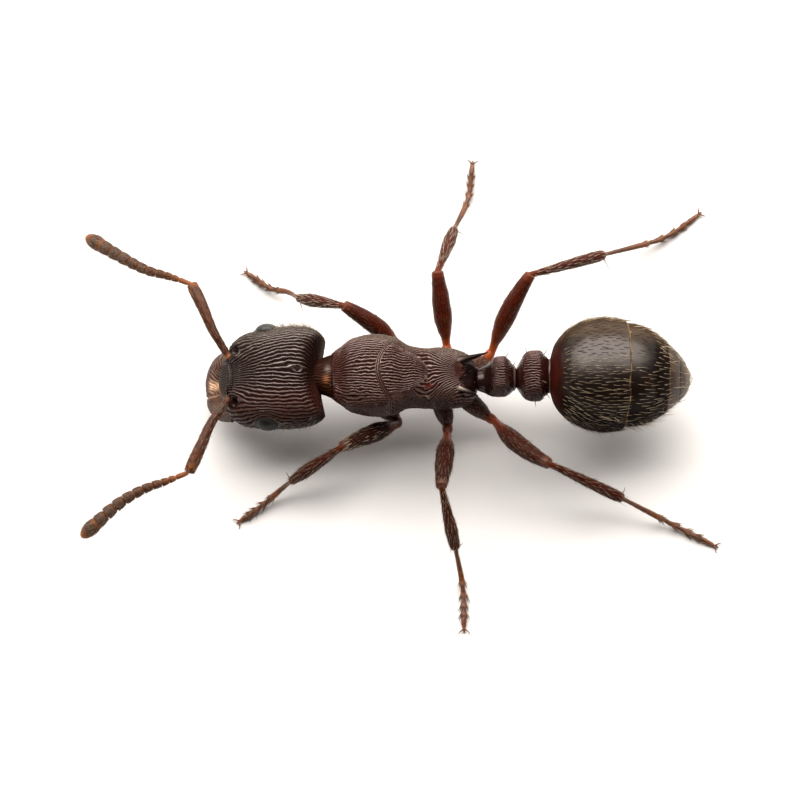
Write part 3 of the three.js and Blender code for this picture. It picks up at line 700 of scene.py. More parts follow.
class Net:
    """The nodes of one material."""

    def __init__(self, name):
        self.material = bpy.data.materials.new(name)
        self.material.use_nodes = True
        self.tree = self.material.node_tree
        self.tree.nodes.clear()
        self.output = self.tree.nodes.new("ShaderNodeOutputMaterial")

    def node(self, kind, settings, inputs):
        """A node of that kind, with its settings first and then its sockets' values or links."""
        made = self.tree.nodes.new(kind)
        for key, value in settings.items():
            if key == "stops":
                self.set_stops(made.color_ramp, value)
            else:
                setattr(made, key, value)
        for key, value in inputs.items():
            socket = made.inputs[key]
            if isinstance(value, Value):
                value = value.socket
            if isinstance(value, bpy.types.NodeSocket):
                self.tree.links.new(value, socket)
            else:
                socket.default_value = value
        return made

    @staticmethod
    def set_stops(ramp, stops):
        """Gives a ramp its stops, each a position and a colour."""
        while len(ramp.elements) > 1:
            ramp.elements.remove(ramp.elements[-1])
        ramp.elements[0].position, ramp.elements[0].color = stops[0]
        for position, colour in stops[1:]:
            ramp.elements.new(position).color = colour

    def mix(self, factor, a, b):
        """Colour a where the factor is 0 and b where it is 1."""
        settings = {"data_type": "RGBA", "clamp_factor": True}
        return self.node("ShaderNodeMix", settings, {0: factor, 6: a, 7: b}).outputs[2]

    def marks(self):
        """The skin's shares: relief, warmth, paleness and depth in a groove."""
        read = self.node("ShaderNodeAttribute", {"attribute_name": "marks"}, {})
        split = self.node("ShaderNodeSeparateColor", {}, {"Color": read.outputs["Color"]})
        return [Value(self, split.outputs[k]) for k in range(3)] + [Value(self, read.outputs["Alpha"])]

    def noise(self, size_mm, detail=3.0, rough=0.6):
        """Cloudy noise from 0 to 1 in object space, with grains of that size."""
        place = self.node("ShaderNodeTexCoord", {}, {}).outputs["Object"]
        inputs = {"Vector": place, "Scale": 1 / (size_mm * MM), "Detail": detail, "Roughness": rough}
        return Value(self, self.node("ShaderNodeTexNoise", {}, inputs).outputs[0])

    def finish(self, colour, roughness, height=None, height_mm=0.002, dull=None, **sockets):
        """The surface. Where dull is 1, a matte copy without gloss takes the place of the shader."""
        inputs = {"Base Color": colour, "Roughness": roughness}
        if height is not None:
            inputs["Normal"] = self.node("ShaderNodeBump", {}, {
                "Height": height, "Strength": 1.0, "Distance": height_mm * MM}).outputs[0]
        inputs.update({key.replace("_", " "): value for key, value in sockets.items()})
        shader = self.node("ShaderNodeBsdfPrincipled", {}, inputs)
        if dull is not None:
            matte = self.node("ShaderNodeBsdfPrincipled", {}, {
                "Base Color": colour, "Roughness": 0.7, "Specular IOR Level": 0.04})
            shader = self.node("ShaderNodeMixShader", {}, {
                0: dull, 1: shader.outputs[0], 2: matte.outputs[0]})
        self.tree.links.new(shader.outputs[0], self.output.inputs[0])
        return self.material


def rgb(red, green, blue):
    """A colour in linear light, with full cover."""
    return (red, green, blue, 1.0)


GLOSS_TINT = rgb(1.0, 0.91, 0.86)


def shell_material(name, groove, rib, warm, pale, roughness, grain_mm, grain_height, crest=0.0, **sockets):
    """Horny plate: dark grooves to paler ribs by relief, warmed and paled by the skin's shares, with
    cloudy staining, and a fine grain in the gloss and the surface. Grooves are matte, and a clear
    coat lies on the crests of the ribs by the share crest."""
    net = Net(name)
    relief, warmth, paleness, depth = net.marks()
    stain = net.noise(0.16, 4.0)
    grain = net.noise(grain_mm, 3.0, 0.65)
    body = net.mix(relief * (0.7 + 0.6 * grain), groove, rib)
    body = net.mix((stain * 1.6 - 0.55).clamped() * 0.4 * relief, body, warm)
    body = net.mix(warmth, body, warm)
    body = net.mix(paleness * (0.6 + 0.8 * grain), body, pale)
    gloss = (roughness + 0.14 * (grain - 0.5) + 0.06 * (stain - 0.5)).clamped()
    if crest:
        sockets.update(Coat_Weight=(relief * 1.5 - 0.5).clamped() * crest, Coat_Roughness=0.24)
    return net.finish(body, gloss, grain, grain_height, depth, Specular_Tint=GLOSS_TINT, **sockets)


HEAD_SHELL = shell_material(
    "head_shell", rgb(0.0045, 0.0008, 0.0003), rgb(0.060, 0.039, 0.033), rgb(0.064, 0.014, 0.008),
    rgb(0.106, 0.090, 0.070), 0.21, 0.018, 0.0022, 1.0, Specular_IOR_Level=1.0)
TRUNK_SHELL = shell_material(
    "trunk_shell", rgb(0.0062, 0.0009, 0.0004), rgb(0.118, 0.054, 0.044), rgb(0.075, 0.011, 0.005),
    rgb(0.110, 0.090, 0.070), 0.21, 0.016, 0.0022, 1.0, Specular_IOR_Level=1.0)
WAIST_SHELL = shell_material(
    "waist_shell", rgb(0.0070, 0.0010, 0.0005), rgb(0.125, 0.056, 0.046), rgb(0.052, 0.005, 0.0025),
    rgb(0.26, 0.20, 0.17), 0.20, 0.014, 0.0012, 1.0, Specular_IOR_Level=0.80)
NECK_SHELL = shell_material(
    "neck_shell", rgb(0.010, 0.0020, 0.0010), rgb(0.030, 0.010, 0.007), rgb(0.20, 0.060, 0.010),
    rgb(0.26, 0.18, 0.15), 0.26, 0.014, 0.0012, Specular_IOR_Level=0.60)
GASTER_SHELL = shell_material(
    "gaster_shell", rgb(0.0030, 0.0010, 0.0004), rgb(0.0075, 0.0030, 0.0014), rgb(0.045, 0.0055, 0.0028),
    rgb(0.30, 0.18, 0.075), 0.33, 0.010, 0.0005, Specular_IOR_Level=0.66)
LEG_SHELL = shell_material(
    "leg_shell", rgb(0.017, 0.0017, 0.0006), rgb(0.120, 0.0092, 0.0020), rgb(0.34, 0.062, 0.009),
    rgb(0.042, 0.029, 0.021), 0.36, 0.012, 0.0014, Specular_IOR_Level=0.32)
FOOT_SHELL = shell_material(
    "foot_shell", rgb(0.065, 0.017, 0.006), rgb(0.16, 0.048, 0.018), rgb(0.42, 0.14, 0.038),
    rgb(0.085, 0.052, 0.032), 0.36, 0.010, 0.0012)
FEELER_SHELL = shell_material(
    "feeler_shell", rgb(0.016, 0.0034, 0.0015), rgb(0.088, 0.022, 0.010), rgb(0.46, 0.16, 0.050),
    rgb(0.078, 0.063, 0.049), 0.38, 0.010, 0.0012, Specular_IOR_Level=0.35)
# The warm colour of the jaws is a bright amber that also carries the painted highlight on the right jaw.
JAW_SHELL = shell_material(
    "jaw_shell", rgb(0.012, 0.0024, 0.0012), rgb(0.062, 0.014, 0.008), rgb(0.92, 0.55, 0.33),
    rgb(0.085, 0.062, 0.056), 0.26, 0.014, 0.0010)


def eye_material():
    """Slate-grey facets with a soft gloss, darkened by painted shade on the middle of the top of each eye,
    and over all of the left eye.
    """
    net = Net("eye_facets")
    relief, dark, _, dull = net.marks()
    stain = net.noise(0.05)
    colour = net.mix(relief * (0.6 + 0.5 * stain), rgb(0.010, 0.010, 0.009), rgb(0.044, 0.046, 0.040))
    colour = net.mix(dark, colour, rgb(0.008, 0.0065, 0.006))
    return net.finish(colour, 0.32 + 0.15 * stain, dull=dull)


def hair_material(name, root, tip, roughness):
    """Hair in two tones that change from hair to hair in patches."""
    net = Net(name)
    tone = net.noise(0.09, 2.0)
    return net.finish(net.mix((tone * 2.0 - 0.5).clamped(), root, tip), 0.10 * tone + roughness)


EYE_FACETS = eye_material()
GOLD_HAIR = hair_material("gold_hair", rgb(0.165, 0.118, 0.068), rgb(0.42, 0.33, 0.215), 0.34)
LIGHT_HAIR = hair_material("light_hair", rgb(0.42, 0.33, 0.23), rgb(0.70, 0.60, 0.46), 0.34)
PALE_HAIR = hair_material("pale_hair", rgb(0.17, 0.122, 0.080), rgb(0.38, 0.30, 0.21), 0.34)
TAWNY_HAIR = hair_material("tawny_hair", rgb(0.10, 0.060, 0.036), rgb(0.24, 0.165, 0.105), 0.36)
BROWN_HAIR = hair_material("brown_hair", rgb(0.090, 0.038, 0.018), rgb(0.26, 0.125, 0.058), 0.38)
BRISTLE = hair_material("bristle", rgb(0.010, 0.005, 0.003), rgb(0.040, 0.020, 0.012), 0.33)
CLAW_HORN = hair_material("claw_horn", rgb(0.080, 0.022, 0.008), rgb(0.20, 0.065, 0.020), 0.30)


# ---- head ----------------------------------------------------------------------------

def sided(point, side):
    """A point of the right side, or its mirror image on the left."""
    return np.array(point) * [1, side, 1]


def to_body(points):
    """From the head's own frame: turned nose down about the occiput."""
    x, y, z = np.moveaxis(np.asarray(points, float), -1, 0)
    c, s = math.cos(HEAD_TILT), math.sin(HEAD_TILT)
    return np.stack([x * c - z * s, y, x * s + z * c], -1) + OCCIPUT


def nearest(rings, arc, point):
    """Station and arc of the grid point that is closest to a point."""
    gap = ((rings - np.asarray(point)) ** 2).sum(axis=-1)
    i, j = np.unravel_index(np.argmin(gap), gap.shape)
    return rings[i, j, 0], arc[i, j]


def build_head():
    """The head capsule: a hollow-backed rounded box with ribs that run from the face to the neck."""
    rings, around = GRID["head"]
    share = np.linspace(0, 1, rings)
    stations = HEAD[0][0] * (1 - (share - 0.07 * np.sin(TURN * share)))
    skin, _ = plate(HEAD, stations, around, square=2.3, dense=0.45)
    r = skin.rings
    x, y = r[..., 0].copy(), r[..., 1]
    toward = np.clip(1 - x / HOLLOW["start"], 0, 1)
    r[..., 0] -= HOLLOW["depth"] * toward ** 2 * np.maximum(0, 1 - (y / HOLLOW["half"]) ** 2)
    arc = arc_from_back(r)
    z = r[..., 2]
    above = ease(-0.05, 0.05, z)

    face = np.zeros(x.shape)
    eyes, sockets = [], []
    for side in (-1, 1):
        eye = sided([EYE["x"], EYE["y"], EYE["z"]], side)
        eyes.append(nearest(r, arc, eye))
        sockets.append(nearest(r, arc, sided(FACE["socket"], side)))
        from_pit = apart(r, sided(FACE["pit"], side))
        lobe = apart(r, sided(FACE["lobe"], side), [0.10, 0.045, 0.10])
        hinge = apart(r, sided(FACE["hinge"], side))
        face += 0.010 * bump(apart(r, eye), 0.155, 0.018)
        face -= 0.080 * np.exp(-(from_pit / 0.055) ** 4)
        face += 0.034 * np.exp(-lobe ** 2)
        face -= 0.040 * np.exp(-(hinge / 0.055) ** 2)
    oval_part = np.sqrt(((x + 1.185) / 0.098) ** 2 + (y / 0.195) ** 2)
    shield = ease(1.05, 0.88, oval_part) * above
    face += 0.020 * shield - 0.022 * bump(oval_part, 1.17, 0.12) * above
    rim = ease(-0.03, 0.0, x)

    stretch = 1 - (1 - along(HEAD_STRETCH, x)) * bump(arc, 0, 0.46)
    flow = part_around(x, arc, [(LOZENGE["x"], 0, 0.040, 1.9)] + [(ex, ea, 0.15, 1) for ex, ea in eyes]
                       + [(sx, sa, 0.045, 1) for sx, sa in sockets])
    from_lozenge = np.abs(x - LOZENGE["x"]) / LOZENGE["length"] + np.abs(arc) / LOZENGE["half"]
    lozenge = ease(1.02, 0.80, from_lozenge)
    flow = flow / stretch
    beyond = np.maximum(0, np.abs(flow) - 0.36)
    phase = flow / RIB["head"] + np.sign(flow) * (6.5 + 8.0 * (arc > 0)) * beyond ** 2
    phase += waver(r, (0.20, 0.55, 3), (0.07, 0.16, 4), (0.06, 0.07, 8))
    rib = furrows(phase + 0.5)
    right = ease(-0.1, 0.1, arc)
    side_share = ease(0.42, 0.80, np.abs(arc) + 0.10 * right)
    strength = (1 - 0.45 * side_share) * uneven(r, 0.06, 5)
    strength = np.clip(strength * (1 - shield) * ease(-1.26, -1.16, x) * (1 - 0.6 * rim), 0, 1.1)
    pits = sum(np.exp(-(((x - sx) ** 2 + (arc - sa) ** 2) / 0.066 ** 2) ** 2) for sx, sa in sockets)
    pits = np.clip(pits, 0, 1)
    strength = strength * (1 - 0.8 * pits) * (1 - 0.9 * lozenge)
    cells = pebbles(r, 0.040, 6)
    fine = furrows(y / 0.030 + 0.15 * ripple(r, 0.1, 7))
    height = ribbing("head", strength, rib) + 0.005 * (0.15 + side_share) * (cells - 0.5) * (1 - shield)
    height += 0.0030 * shield * (fine - 0.5)
    height += 0.003 * spot(x, arc, (LOZENGE["dot"], 0), 0.012) - 0.006 * lozenge
    skin.raise_by(face + height)

    rear = ease(-0.20, -0.04, x + 0.03 * ripple(r, 0.3, 9)) * ease(0.62, 0.36, np.abs(arc))
    front = ease(-0.90, -1.04, x)
    relief = rib * (1 - 0.40 * side_share) * strength + 0.35 * side_share * cells
    relief = relief * (1 - pits) * (1 - 0.6 * rear) * (1 - 0.35 * front) * (1 - 0.8 * lozenge)
    relief = relief * (1 - shield) + (0.08 + 0.22 * fine) * shield
    # Painted shade: the terms that grow as y falls below zero warm the left side of the head, away from the
    # soft box, to a darker red; the term at the rear is the head's own colour.
    warm = 0.45 * bump(x, -0.33, 0.24) * ease(-0.15, -0.45, y) * (0.3 + 0.7 * rib) * strength
    warm += 0.10 * rear * (1 - side_share)
    warm += 0.40 * ease(-0.02, -0.36, y) * (0.35 + 0.65 * rib) * (1 - side_share)
    # Painted light: the right side of the head, towards the soft box, is paled.
    painted_light_olive = ease(0.25, 0.80, arc) * (1 - rear)
    pale = painted_light_olive * (0.15 + 0.50 * rib * strength + 0.30 * cells) + 0.04 * shield
    pale += 0.10 * ease(0.55, 0.85, np.abs(arc)) * cells
    groove = in_groove(rib, np.clip(strength, 0, 1))
    lower = 0.66 * ease(-0.08, -0.42, y)
    edge = 1.0 * ease(-0.085, -0.03, x)
    blunt = np.maximum.reduce([0.70 * rear, edge, 0.62 * front, 0.90 * shield, pits, 0.95 * lozenge,
                               side_share * (0.35 + 0.4 * cells), lower])
    skin.mark(relief, warm, pale, np.maximum(groove, blunt))
    skin.capped(0.012, 0.010)
    skin.rings = to_body(skin.rings)
    node_skin("head", skin, HEAD_SHELL)
    return skin


def build_eye(side, name):
    """A compound eye: an ellipsoid whose surface is dimpled between facets that sit on spiral rows."""
    count, around = GRID["eye"]
    polar = (np.linspace(0.02, math.pi - 0.02, count))[:, None]
    roll = np.linspace(0, TURN, around, endpoint=False)[None]
    rows = np.stack([np.cos(polar) + 0 * roll, np.sin(polar) * np.cos(roll),
                     np.sin(polar) * np.sin(roll)], -1)
    a, b = rows[..., 0] * 42, rows[..., 2] * 42
    hexes = (np.cos(a) + np.cos(0.5 * a + 0.866 * b) + np.cos(0.5 * a - 0.866 * b)) / 3
    hexes = np.clip(0.5 + 0.7 * hexes, 0, 1)
    size = np.array([EYE["length"], EYE["bulge"], EYE["height"]])
    rings = rows * (size + 0.0012 * hexes[..., None])
    middle = np.array([EYE["x"] - 0.018 * (side > 0), side * EYE["y"], EYE["z"]])
    skin = Skin(to_body(rings + middle))
    # Painted shade: shaded darkens the top of the eye; the left eye, away from the soft box, is darkened all
    # over.
    shaded = bump(rows[..., 0], 0.0, 0.45) * ease(0.35, 0.9, rows[..., 2])
    inner = ease(0.25, 0.75, 0.80 * rows[..., 2] - side * 0.60 * rows[..., 1])
    skin.mark(0.4 + 0.6 * hexes, (0.45 + 0.55 * shaded) if side < 0 else 0.25 * shaded,
              None, np.maximum(0.65, 0.95 * inner) if side < 0 else 0.3 * inner)
    node_skin(f"eye_{name}", skin, EYE_FACETS)


def build_mandible(side, name):
    """A jaw blade: a flat ellipse carried along an arc. Fine ribs slant across it, its outer rim
    is grey, its inner end amber, and teeth stand on its end. On the right jaw the amber patch
    also carries a painted highlight."""
    arc = Path.through(MANDIBLE_ARC[name])
    rings, around = GRID["mandible"]
    share = np.linspace(0, 1, rings)
    radius = BLADE["half_width"] * (1 - 0.18 * share ** 3)
    skin = limb(arc, share * arc.length, radius, around, flat=BLADE["half_height"] / BLADE["half_width"])
    local = skin.over(share)
    roll = np.linspace(0, TURN, around, endpoint=False)[None] + 0 * local
    outward = np.cos(roll) * np.sign((skin.rings[70, :, 0] - skin.rings[70, :, 0].mean())[0]) * -1
    phase = 1.8 * outward + 15.0 * local + 0.25 * ripple(skin.rings, 0.12, 11)
    rib = furrows(phase, 1.1)
    rim = ease(0.35, 0.75, outward)
    fade = ease(0.02, 0.12, local) * ease(1.0, 0.93, local) * (1 - 0.7 * rim)
    skin.raise_by(0.0065 * (rib - 0.5) * fade + 0.0008 * ripple(skin.rings, 0.03, 12))
    teeth = 0.012 * (0.5 + 0.5 * np.cos(6 * roll)) * ease(0.9, 1.0, local)
    skin.rings[..., 1] -= side * teeth
    # The amber patch on the right jaw, towards the soft box, is partly the jaw's own amber and partly a
    # painted highlight; the small amber end of the left jaw is its own colour.
    if side > 0:
        amber = bump(local, 0.82, 0.095) * (1 - rim)
        amber = amber * (0.45 + 0.55 * rib + 0.15 * ripple(skin.rings, 0.06, 13))
    else:
        amber = 0.35 * ease(0.90, 1.0, local)
    grey = rim * (0.75 + 0.15 * ripple(skin.rings, 0.05, 14))
    if side < 0:
        grey = grey + 0.22 * ease(0.9, 0.3, local)
    dull = 0.8 * (1 - rib) * fade * (1 - amber)
    skin.mark(0.08 + 0.85 * rib, amber, grey, np.maximum(dull, 0.55 * (side < 0)))
    skin.capped(0.01, 0.032 if side > 0 else 0.012)
    skin.rings = to_body(skin.rings)
    node_skin(f"mandible_{name}", skin, JAW_SHELL)
    return skin


def horn(part, points, root, point, power=0.9, flat=1.0, warm=0.0, relief=0.5):
    """A horn: a circle carried along a curve, tapering from root to point by (1 - t)^power."""
    path = Path.through(points)
    rings, around = GRID[part]
    share = np.linspace(0, 1, rings)
    skin = limb(path, share * path.length, point + (root - point) * (1 - share) ** power, around, flat)
    return skin.mark(relief=relief, warm=warm)


# ---- trunk and waist -----------------------------------------------------------------

def suture(rings):
    """How far back the seam between two back plates lies: it curves back by 1.25 y^2 on the back,
    and comes forward again down the flank."""
    y, z = rings[..., 1], rings[..., 2]
    return 1.25 * np.minimum(np.abs(y), 0.36) ** 2 - 0.04 - 0.28 * ease(0.95, 0.60, z)


def trunk_plate(part, start, end):
    """The stations and the skin of one back plate, with more columns near the midline."""
    rings, around = GRID[part]
    stations = np.linspace(start, end, rings)
    skin, _ = plate(TRUNK, stations, around, undercut=UNDERCUT, dense=0.42)
    return stations, skin


def build_pronotum():
    """The first back plate: it flares from the collar, and its ribs spread with it."""
    stations, skin = trunk_plate("pronotum", TRUNK[0][0], PRONOTUM_END)
    r = skin.rings
    progress = ease(TRUNK[0][0], PRONOTUM_END, stations)[:, None]
    r[..., 0] += suture(r) * progress
    arc = arc_from_back(r)
    x = r[..., 0]
    gap = np.abs(x - (PRONOTUM_END + suture(r)))
    widest = 1 - (1 - along(COLLAR_STRETCH, x)) * bump(arc, 0, 0.55)
    side_share = ease(0.40, 0.62, np.abs(arc))
    phase = arc / widest / (RIB["pronotum"] - 0.010 * side_share)
    phase += waver(r, (0.20, 0.34, 21), (0.09, 0.12, 22), (0.06, 0.06, 25))
    rib = furrows(phase + 0.5)
    end = ease(0.0, 0.040, gap)
    cells = pebbles(r, 0.035, 23)
    start = ease(-0.82, -0.76, x)
    strength = start * (1 - 0.50 * side_share) * (0.25 + 0.75 * end)
    strength = np.clip(strength * uneven(r, 0.05, 24), 0, 1.1)
    height = ribbing("pronotum", strength, rib) + 0.005 * side_share * (cells - 0.5)
    skin.raise_by(height - 0.007 * (1 - ease(0.0, 0.022, gap)))
    relief = rib * strength * (1 - 0.3 * side_share) + 0.35 * side_share * cells
    # Painted light and shade: the ribs on the left side, away from the soft box, are warmed to a darker red,
    # and the right side, towards it, is paled.
    warm = 0.30 * (1 - end) + 0.22 * bump(x, -0.77, 0.05) + 0.25 * ease(0.0, 0.4, -arc) * rib * strength
    painted_light_olive = ease(0.30, 0.62, arc) * (0.15 + 0.5 * rib * strength + 0.25 * cells)
    deep = np.maximum.reduce([in_groove(rib, strength), 0.90 * (1 - start),
                              0.5 * (1 - ease(0, 0.016, gap)), side_share * (0.52 + 0.4 * cells)])
    skin.mark(relief, warm, painted_light_olive + 0.10 * ease(-0.4, -0.7, arc) * cells, deep)
    skin.capped(0.0, -0.02)
    node_skin("pronotum", skin, TRUNK_SHELL)
    return skin


STAR = (0.742, 0.030)
# The ribs of the second and third plate waver together: amount, size and seed of each ripple.
BACK_WAVER = ((0.18, 0.34, 31), (0.08, 0.12, 32), (0.06, 0.06, 35))


def fan(x, arc):
    """Phase of ribs that close in on the star, as water runs to a drain: 0.62 of the arc from its
    line, plus 0.19 mm times the turn about it in radians, over the width of a rib."""
    off = arc - STAR[1]
    turn = np.arctan2(off, np.maximum(STAR[0] + 0.02 - x, 0.012))
    return (0.62 * off + 0.19 * turn * ease(0.32, 0.56, x)) / RIB["propodeum"]


def build_mesonotum():
    """The second back plate: a shield whose ribs close in behind, over finely wrinkled flanks."""
    stations, skin = trunk_plate("mesonotum", PRONOTUM_END - 0.015, MESONOTUM_END)
    r = skin.rings
    along_plate = skin.over(np.linspace(0, 1, len(stations)))
    r[..., 0] += suture(r) * ease(1.0, 0.0, along_plate)
    arc = arc_from_back(r)
    x, z = r[..., 0], r[..., 2]
    half = along(SHIELD_HALF, x)
    inside = np.abs(arc) / half
    flow = arc / (half / 0.36) ** (0.28 + 0.55 * np.clip(inside, 0, 1) ** 2)
    shield = ease(1.05, 0.97, inside)
    beside = ease(0.05, 0.22, x) * ease(0.46, 0.32, np.abs(arc)) * (1 - shield)
    plain = 1 - shield - beside
    phase = shield * flow / RIB["mesonotum"] + beside * fan(x, arc) + plain * (arc / 0.027 + 1.2 * x)
    phase += waver(r, *BACK_WAVER)
    gap = x - (PRONOTUM_END + suture(r))
    lips = ease(0.062, 0.042, gap)
    phase = phase * (1 - lips) + lips * gap / 0.024
    rib = furrows(phase)
    start = ease(0.0, 0.03, along_plate)
    cells = pebbles(r, 0.035, 33)
    strength = (1 - 0.35 * plain) * start * uneven(r, 0.05, 34)
    margin = bump((inside - 1) * half, 0.0, 0.014) * (1 - lips)
    height = ribbing("mesonotum", strength, rib) + 0.007 * plain * (cells - 0.5)
    height -= 0.009 * (1 - start) + 0.003 * ease(0.97, 1.0, along_plate)
    line = x + 0.45 * (z - 0.7)
    height -= 0.014 * bump(line, 0.02, 0.016) * ease(1.0, 0.8, z)
    skin.raise_by(height + 0.003 * margin)
    relief = rib * strength + 0.25 * plain * cells
    red = spot(x, arc, (0.33, -0.16), 0.05)
    warm = 0.45 * (1 - start) * shield + 0.12 * shield * rib + 0.10 * lips + 0.8 * red
    # Painted light: the flank on the right, towards the soft box, is paled, and painted highlights lie pale
    # on the crests of the ribs along the shield's margin and at the seam.
    painted_light_olive = (1 - shield) * ease(0.2, 0.5, arc) * (0.2 + 0.5 * cells) + 0.06 * margin * rib + 0.25 * lips * rib
    deep = np.maximum.reduce([in_groove(rib, np.clip(strength + 0.25, 0, 1)), 0.5 * (1 - start),
                              plain * (0.50 + 0.35 * cells), red])
    skin.mark(relief, warm, painted_light_olive + 0.08 * plain * cells, deep * (1 - 0.3 * margin))
    skin.capped(-0.02, -0.02)
    node_skin("mesonotum", skin, TRUNK_SHELL)
    return skin


def build_propodeum():
    """The third back plate, with its spines: ribs close in on a star before the hollow slope."""
    _, skin = trunk_plate("propodeum", MESONOTUM_END - 0.006, TRUNK[-1][0])
    r = skin.rings
    arc = arc_from_back(r)
    x, y, z = (r[..., k] for k in range(3))
    side_share = ease(0.21, 0.38, np.abs(arc))
    rib = furrows(fan(x, arc) + waver(r, *BACK_WAVER))
    from_star = np.sqrt((x - STAR[0]) ** 2 + (arc - STAR[1]) ** 2)
    ragged = x + 0.05 * np.maximum(0, 1 - (y / 0.16) ** 2) + 0.02 * ripple(r, 0.12, 45)
    slope = ease(0.73, 0.86, ragged) * ease(0.30, 0.20, np.abs(arc))
    cells = pebbles(r, 0.035, 43)
    strength = (1 - 0.50 * side_share) * (1 - slope) * uneven(r, 0.05, 44)
    height = ribbing("propodeum", strength, rib) + 0.007 * side_share * (cells - 0.5) * (1 - slope)
    height -= 0.035 * slope * ease(0.18, 0.02, np.abs(y)) * ease(0.7, 0.95, z)
    skin.raise_by(height)
    relief = (rib * strength + 0.25 * side_share * cells) * (1 - 0.95 * slope)
    # Painted shade: relief falls on the far left flank, away from the soft box, which darkens it.
    relief *= 1 - 0.35 * ease(-0.30, -0.42, arc)
    red = spot(x, arc, (0.35, -0.16), 0.05)
    warm = 0.6 * bump(from_star, 0, 0.06) * (1 - slope) + 0.8 * red
    warm += 0.25 * ease(0.5, 0.75, x) * rib * (1 - slope)
    # Painted light: the flank on the right, towards the soft box, is paled.
    painted_light_olive = side_share * ease(0.0, 0.3, arc) * (0.15 + 0.5 * cells) * (1 - slope)
    blunt = np.maximum.reduce([side_share * (0.55 + 0.40 * cells), red, bump(from_star, 0, 0.08)])
    blunt = blunt * (1 - slope) + 0.80 * slope
    skin.mark(relief, warm, painted_light_olive + 0.08 * side_share * cells * (1 - slope),
              np.maximum(in_groove(rib, strength), blunt))
    skin.capped(-0.02, 0.01)
    node_skin("propodeum", skin, TRUNK_SHELL)
    skin_object("spines", build_spines(), WAIST_SHELL)
    return skin


def build_spines():
    """Two spines that flank the slope, each a horn along a bent line. Each carries a painted highlight
    on the face turned up and forward, longer and brighter on the left one."""
    spines = []
    for side, name, middle, half, bright in ((-1, "left", 0.40, 0.34, 1.0), (1, "right", 0.25, 0.14, 0.28)):
        root, tip = sided(SPINE["root"], side), np.array(SPINE[name])
        out = np.array([0, side, 0])
        points = [root - [0.06, 0, 0.05] - 0.02 * out, root + [0.02, 0, 0] + 0.03 * out,
                  (root + tip) / 2 + [0, 0, 0.014] + 0.008 * out, tip]
        spine = horn("spine", points, 0.062, 0.004, relief=0.02)
        share = spine.over(np.linspace(0, 1, len(spine.rings)))
        normal, _ = spine.frames()
        # Painted highlight on the face turned up and forward; elsewhere the gloss is dulled.
        front = ease(0.62, 0.90, 0.8 * normal[..., 2] - 0.5 * normal[..., 0])
        painted_highlight = bright * bump(share, middle, half) * front
        spine.mark(0.0, pale=painted_highlight, deep=0.85 - 0.85 * painted_highlight)
        spines.append(spine.capped(0.0, 0.004))
    return spines


def build_neck():
    """The neck: a rounded box with rings across it, an amber spot on top, and a painted highlight beside it.
    """
    rings, around = GRID["neck"]
    skin, arc = plate(NECK, np.linspace(NECK[0][0], NECK[-1][0], rings), around)
    r = skin.rings
    rib = furrows(arc / 0.035 + 0.3 * ripple(r, 0.15, 51))
    skin.raise_by(0.008 * (rib - 0.5))
    top = ease(0.98, 1.08, r[..., 2])
    amber = bump(r[..., 1], -0.072, 0.046) * top * bump(r[..., 0], -0.885, 0.036)
    # Painted highlight: a pale spot on top of the neck, where the soft box would glint.
    painted_gleam = bump(r[..., 1], 0.045, 0.045) * top * bump(r[..., 0], -0.865, 0.034)
    skin.mark(0.1 + 0.5 * rib, amber, 0.35 * painted_gleam, 0.95 - 0.5 * painted_gleam - 0.5 * amber)
    skin.capped(0.0, 0.0)
    node_skin("neck", skin, NECK_SHELL)
    return skin


def build_petiole():
    """The first waist knot: bare and dark in front and behind, ribbed over its top, with a low keel."""
    rings, around = GRID["petiole"]
    skin, arc = plate(PETIOLE, np.linspace(PETIOLE[0][0], PETIOLE[-1][0], rings), around)
    r = skin.rings
    x, y, z = (r[..., k] for k in range(3))
    flow = arc / (0.80 + 1.7 * np.clip(x - 1.10, 0, 0.25))
    rib = furrows(flow / RIB["petiole"] + waver(r, (0.17, 0.14, 61), (0.09, 0.06, 62)))
    ragged = x + 0.016 * ripple(r, 0.08, 64)
    node = ease(1.09, 1.15, ragged) * ease(1.34, 1.28, ragged)
    strength = np.clip(node * uneven(r, 0.05, 63, 0.15), 0, 1.1)
    rim = bump(x, 1.372, 0.010)
    keel = bump(y, 0, 0.03) * ease(0.75, 0.68, z) * bump(x, 1.02, 0.05)
    crest = bump(x, 1.125, 0.014) * ease(1.0, 1.05, z)
    skin.raise_by(ribbing("petiole", strength, rib) + 0.010 * rim + 0.05 * keel + 0.003 * crest)
    bare = 0.35 * (1 - node) * (1 - rim)
    # Painted highlight: a pale line on top of the rim at the back, and a faint one on top of the crest.
    skin.mark(rib * strength + 0.05 * (1 - node), 0.35 * ease(1.27, 1.34, x),
              0.6 * rim * ease(0.9, 1.0, z) + 0.06 * crest, np.maximum(in_groove(rib, strength), bare))
    skin.capped(0.03, 0.02)
    node_skin("petiole", skin, WAIST_SHELL)
    return skin


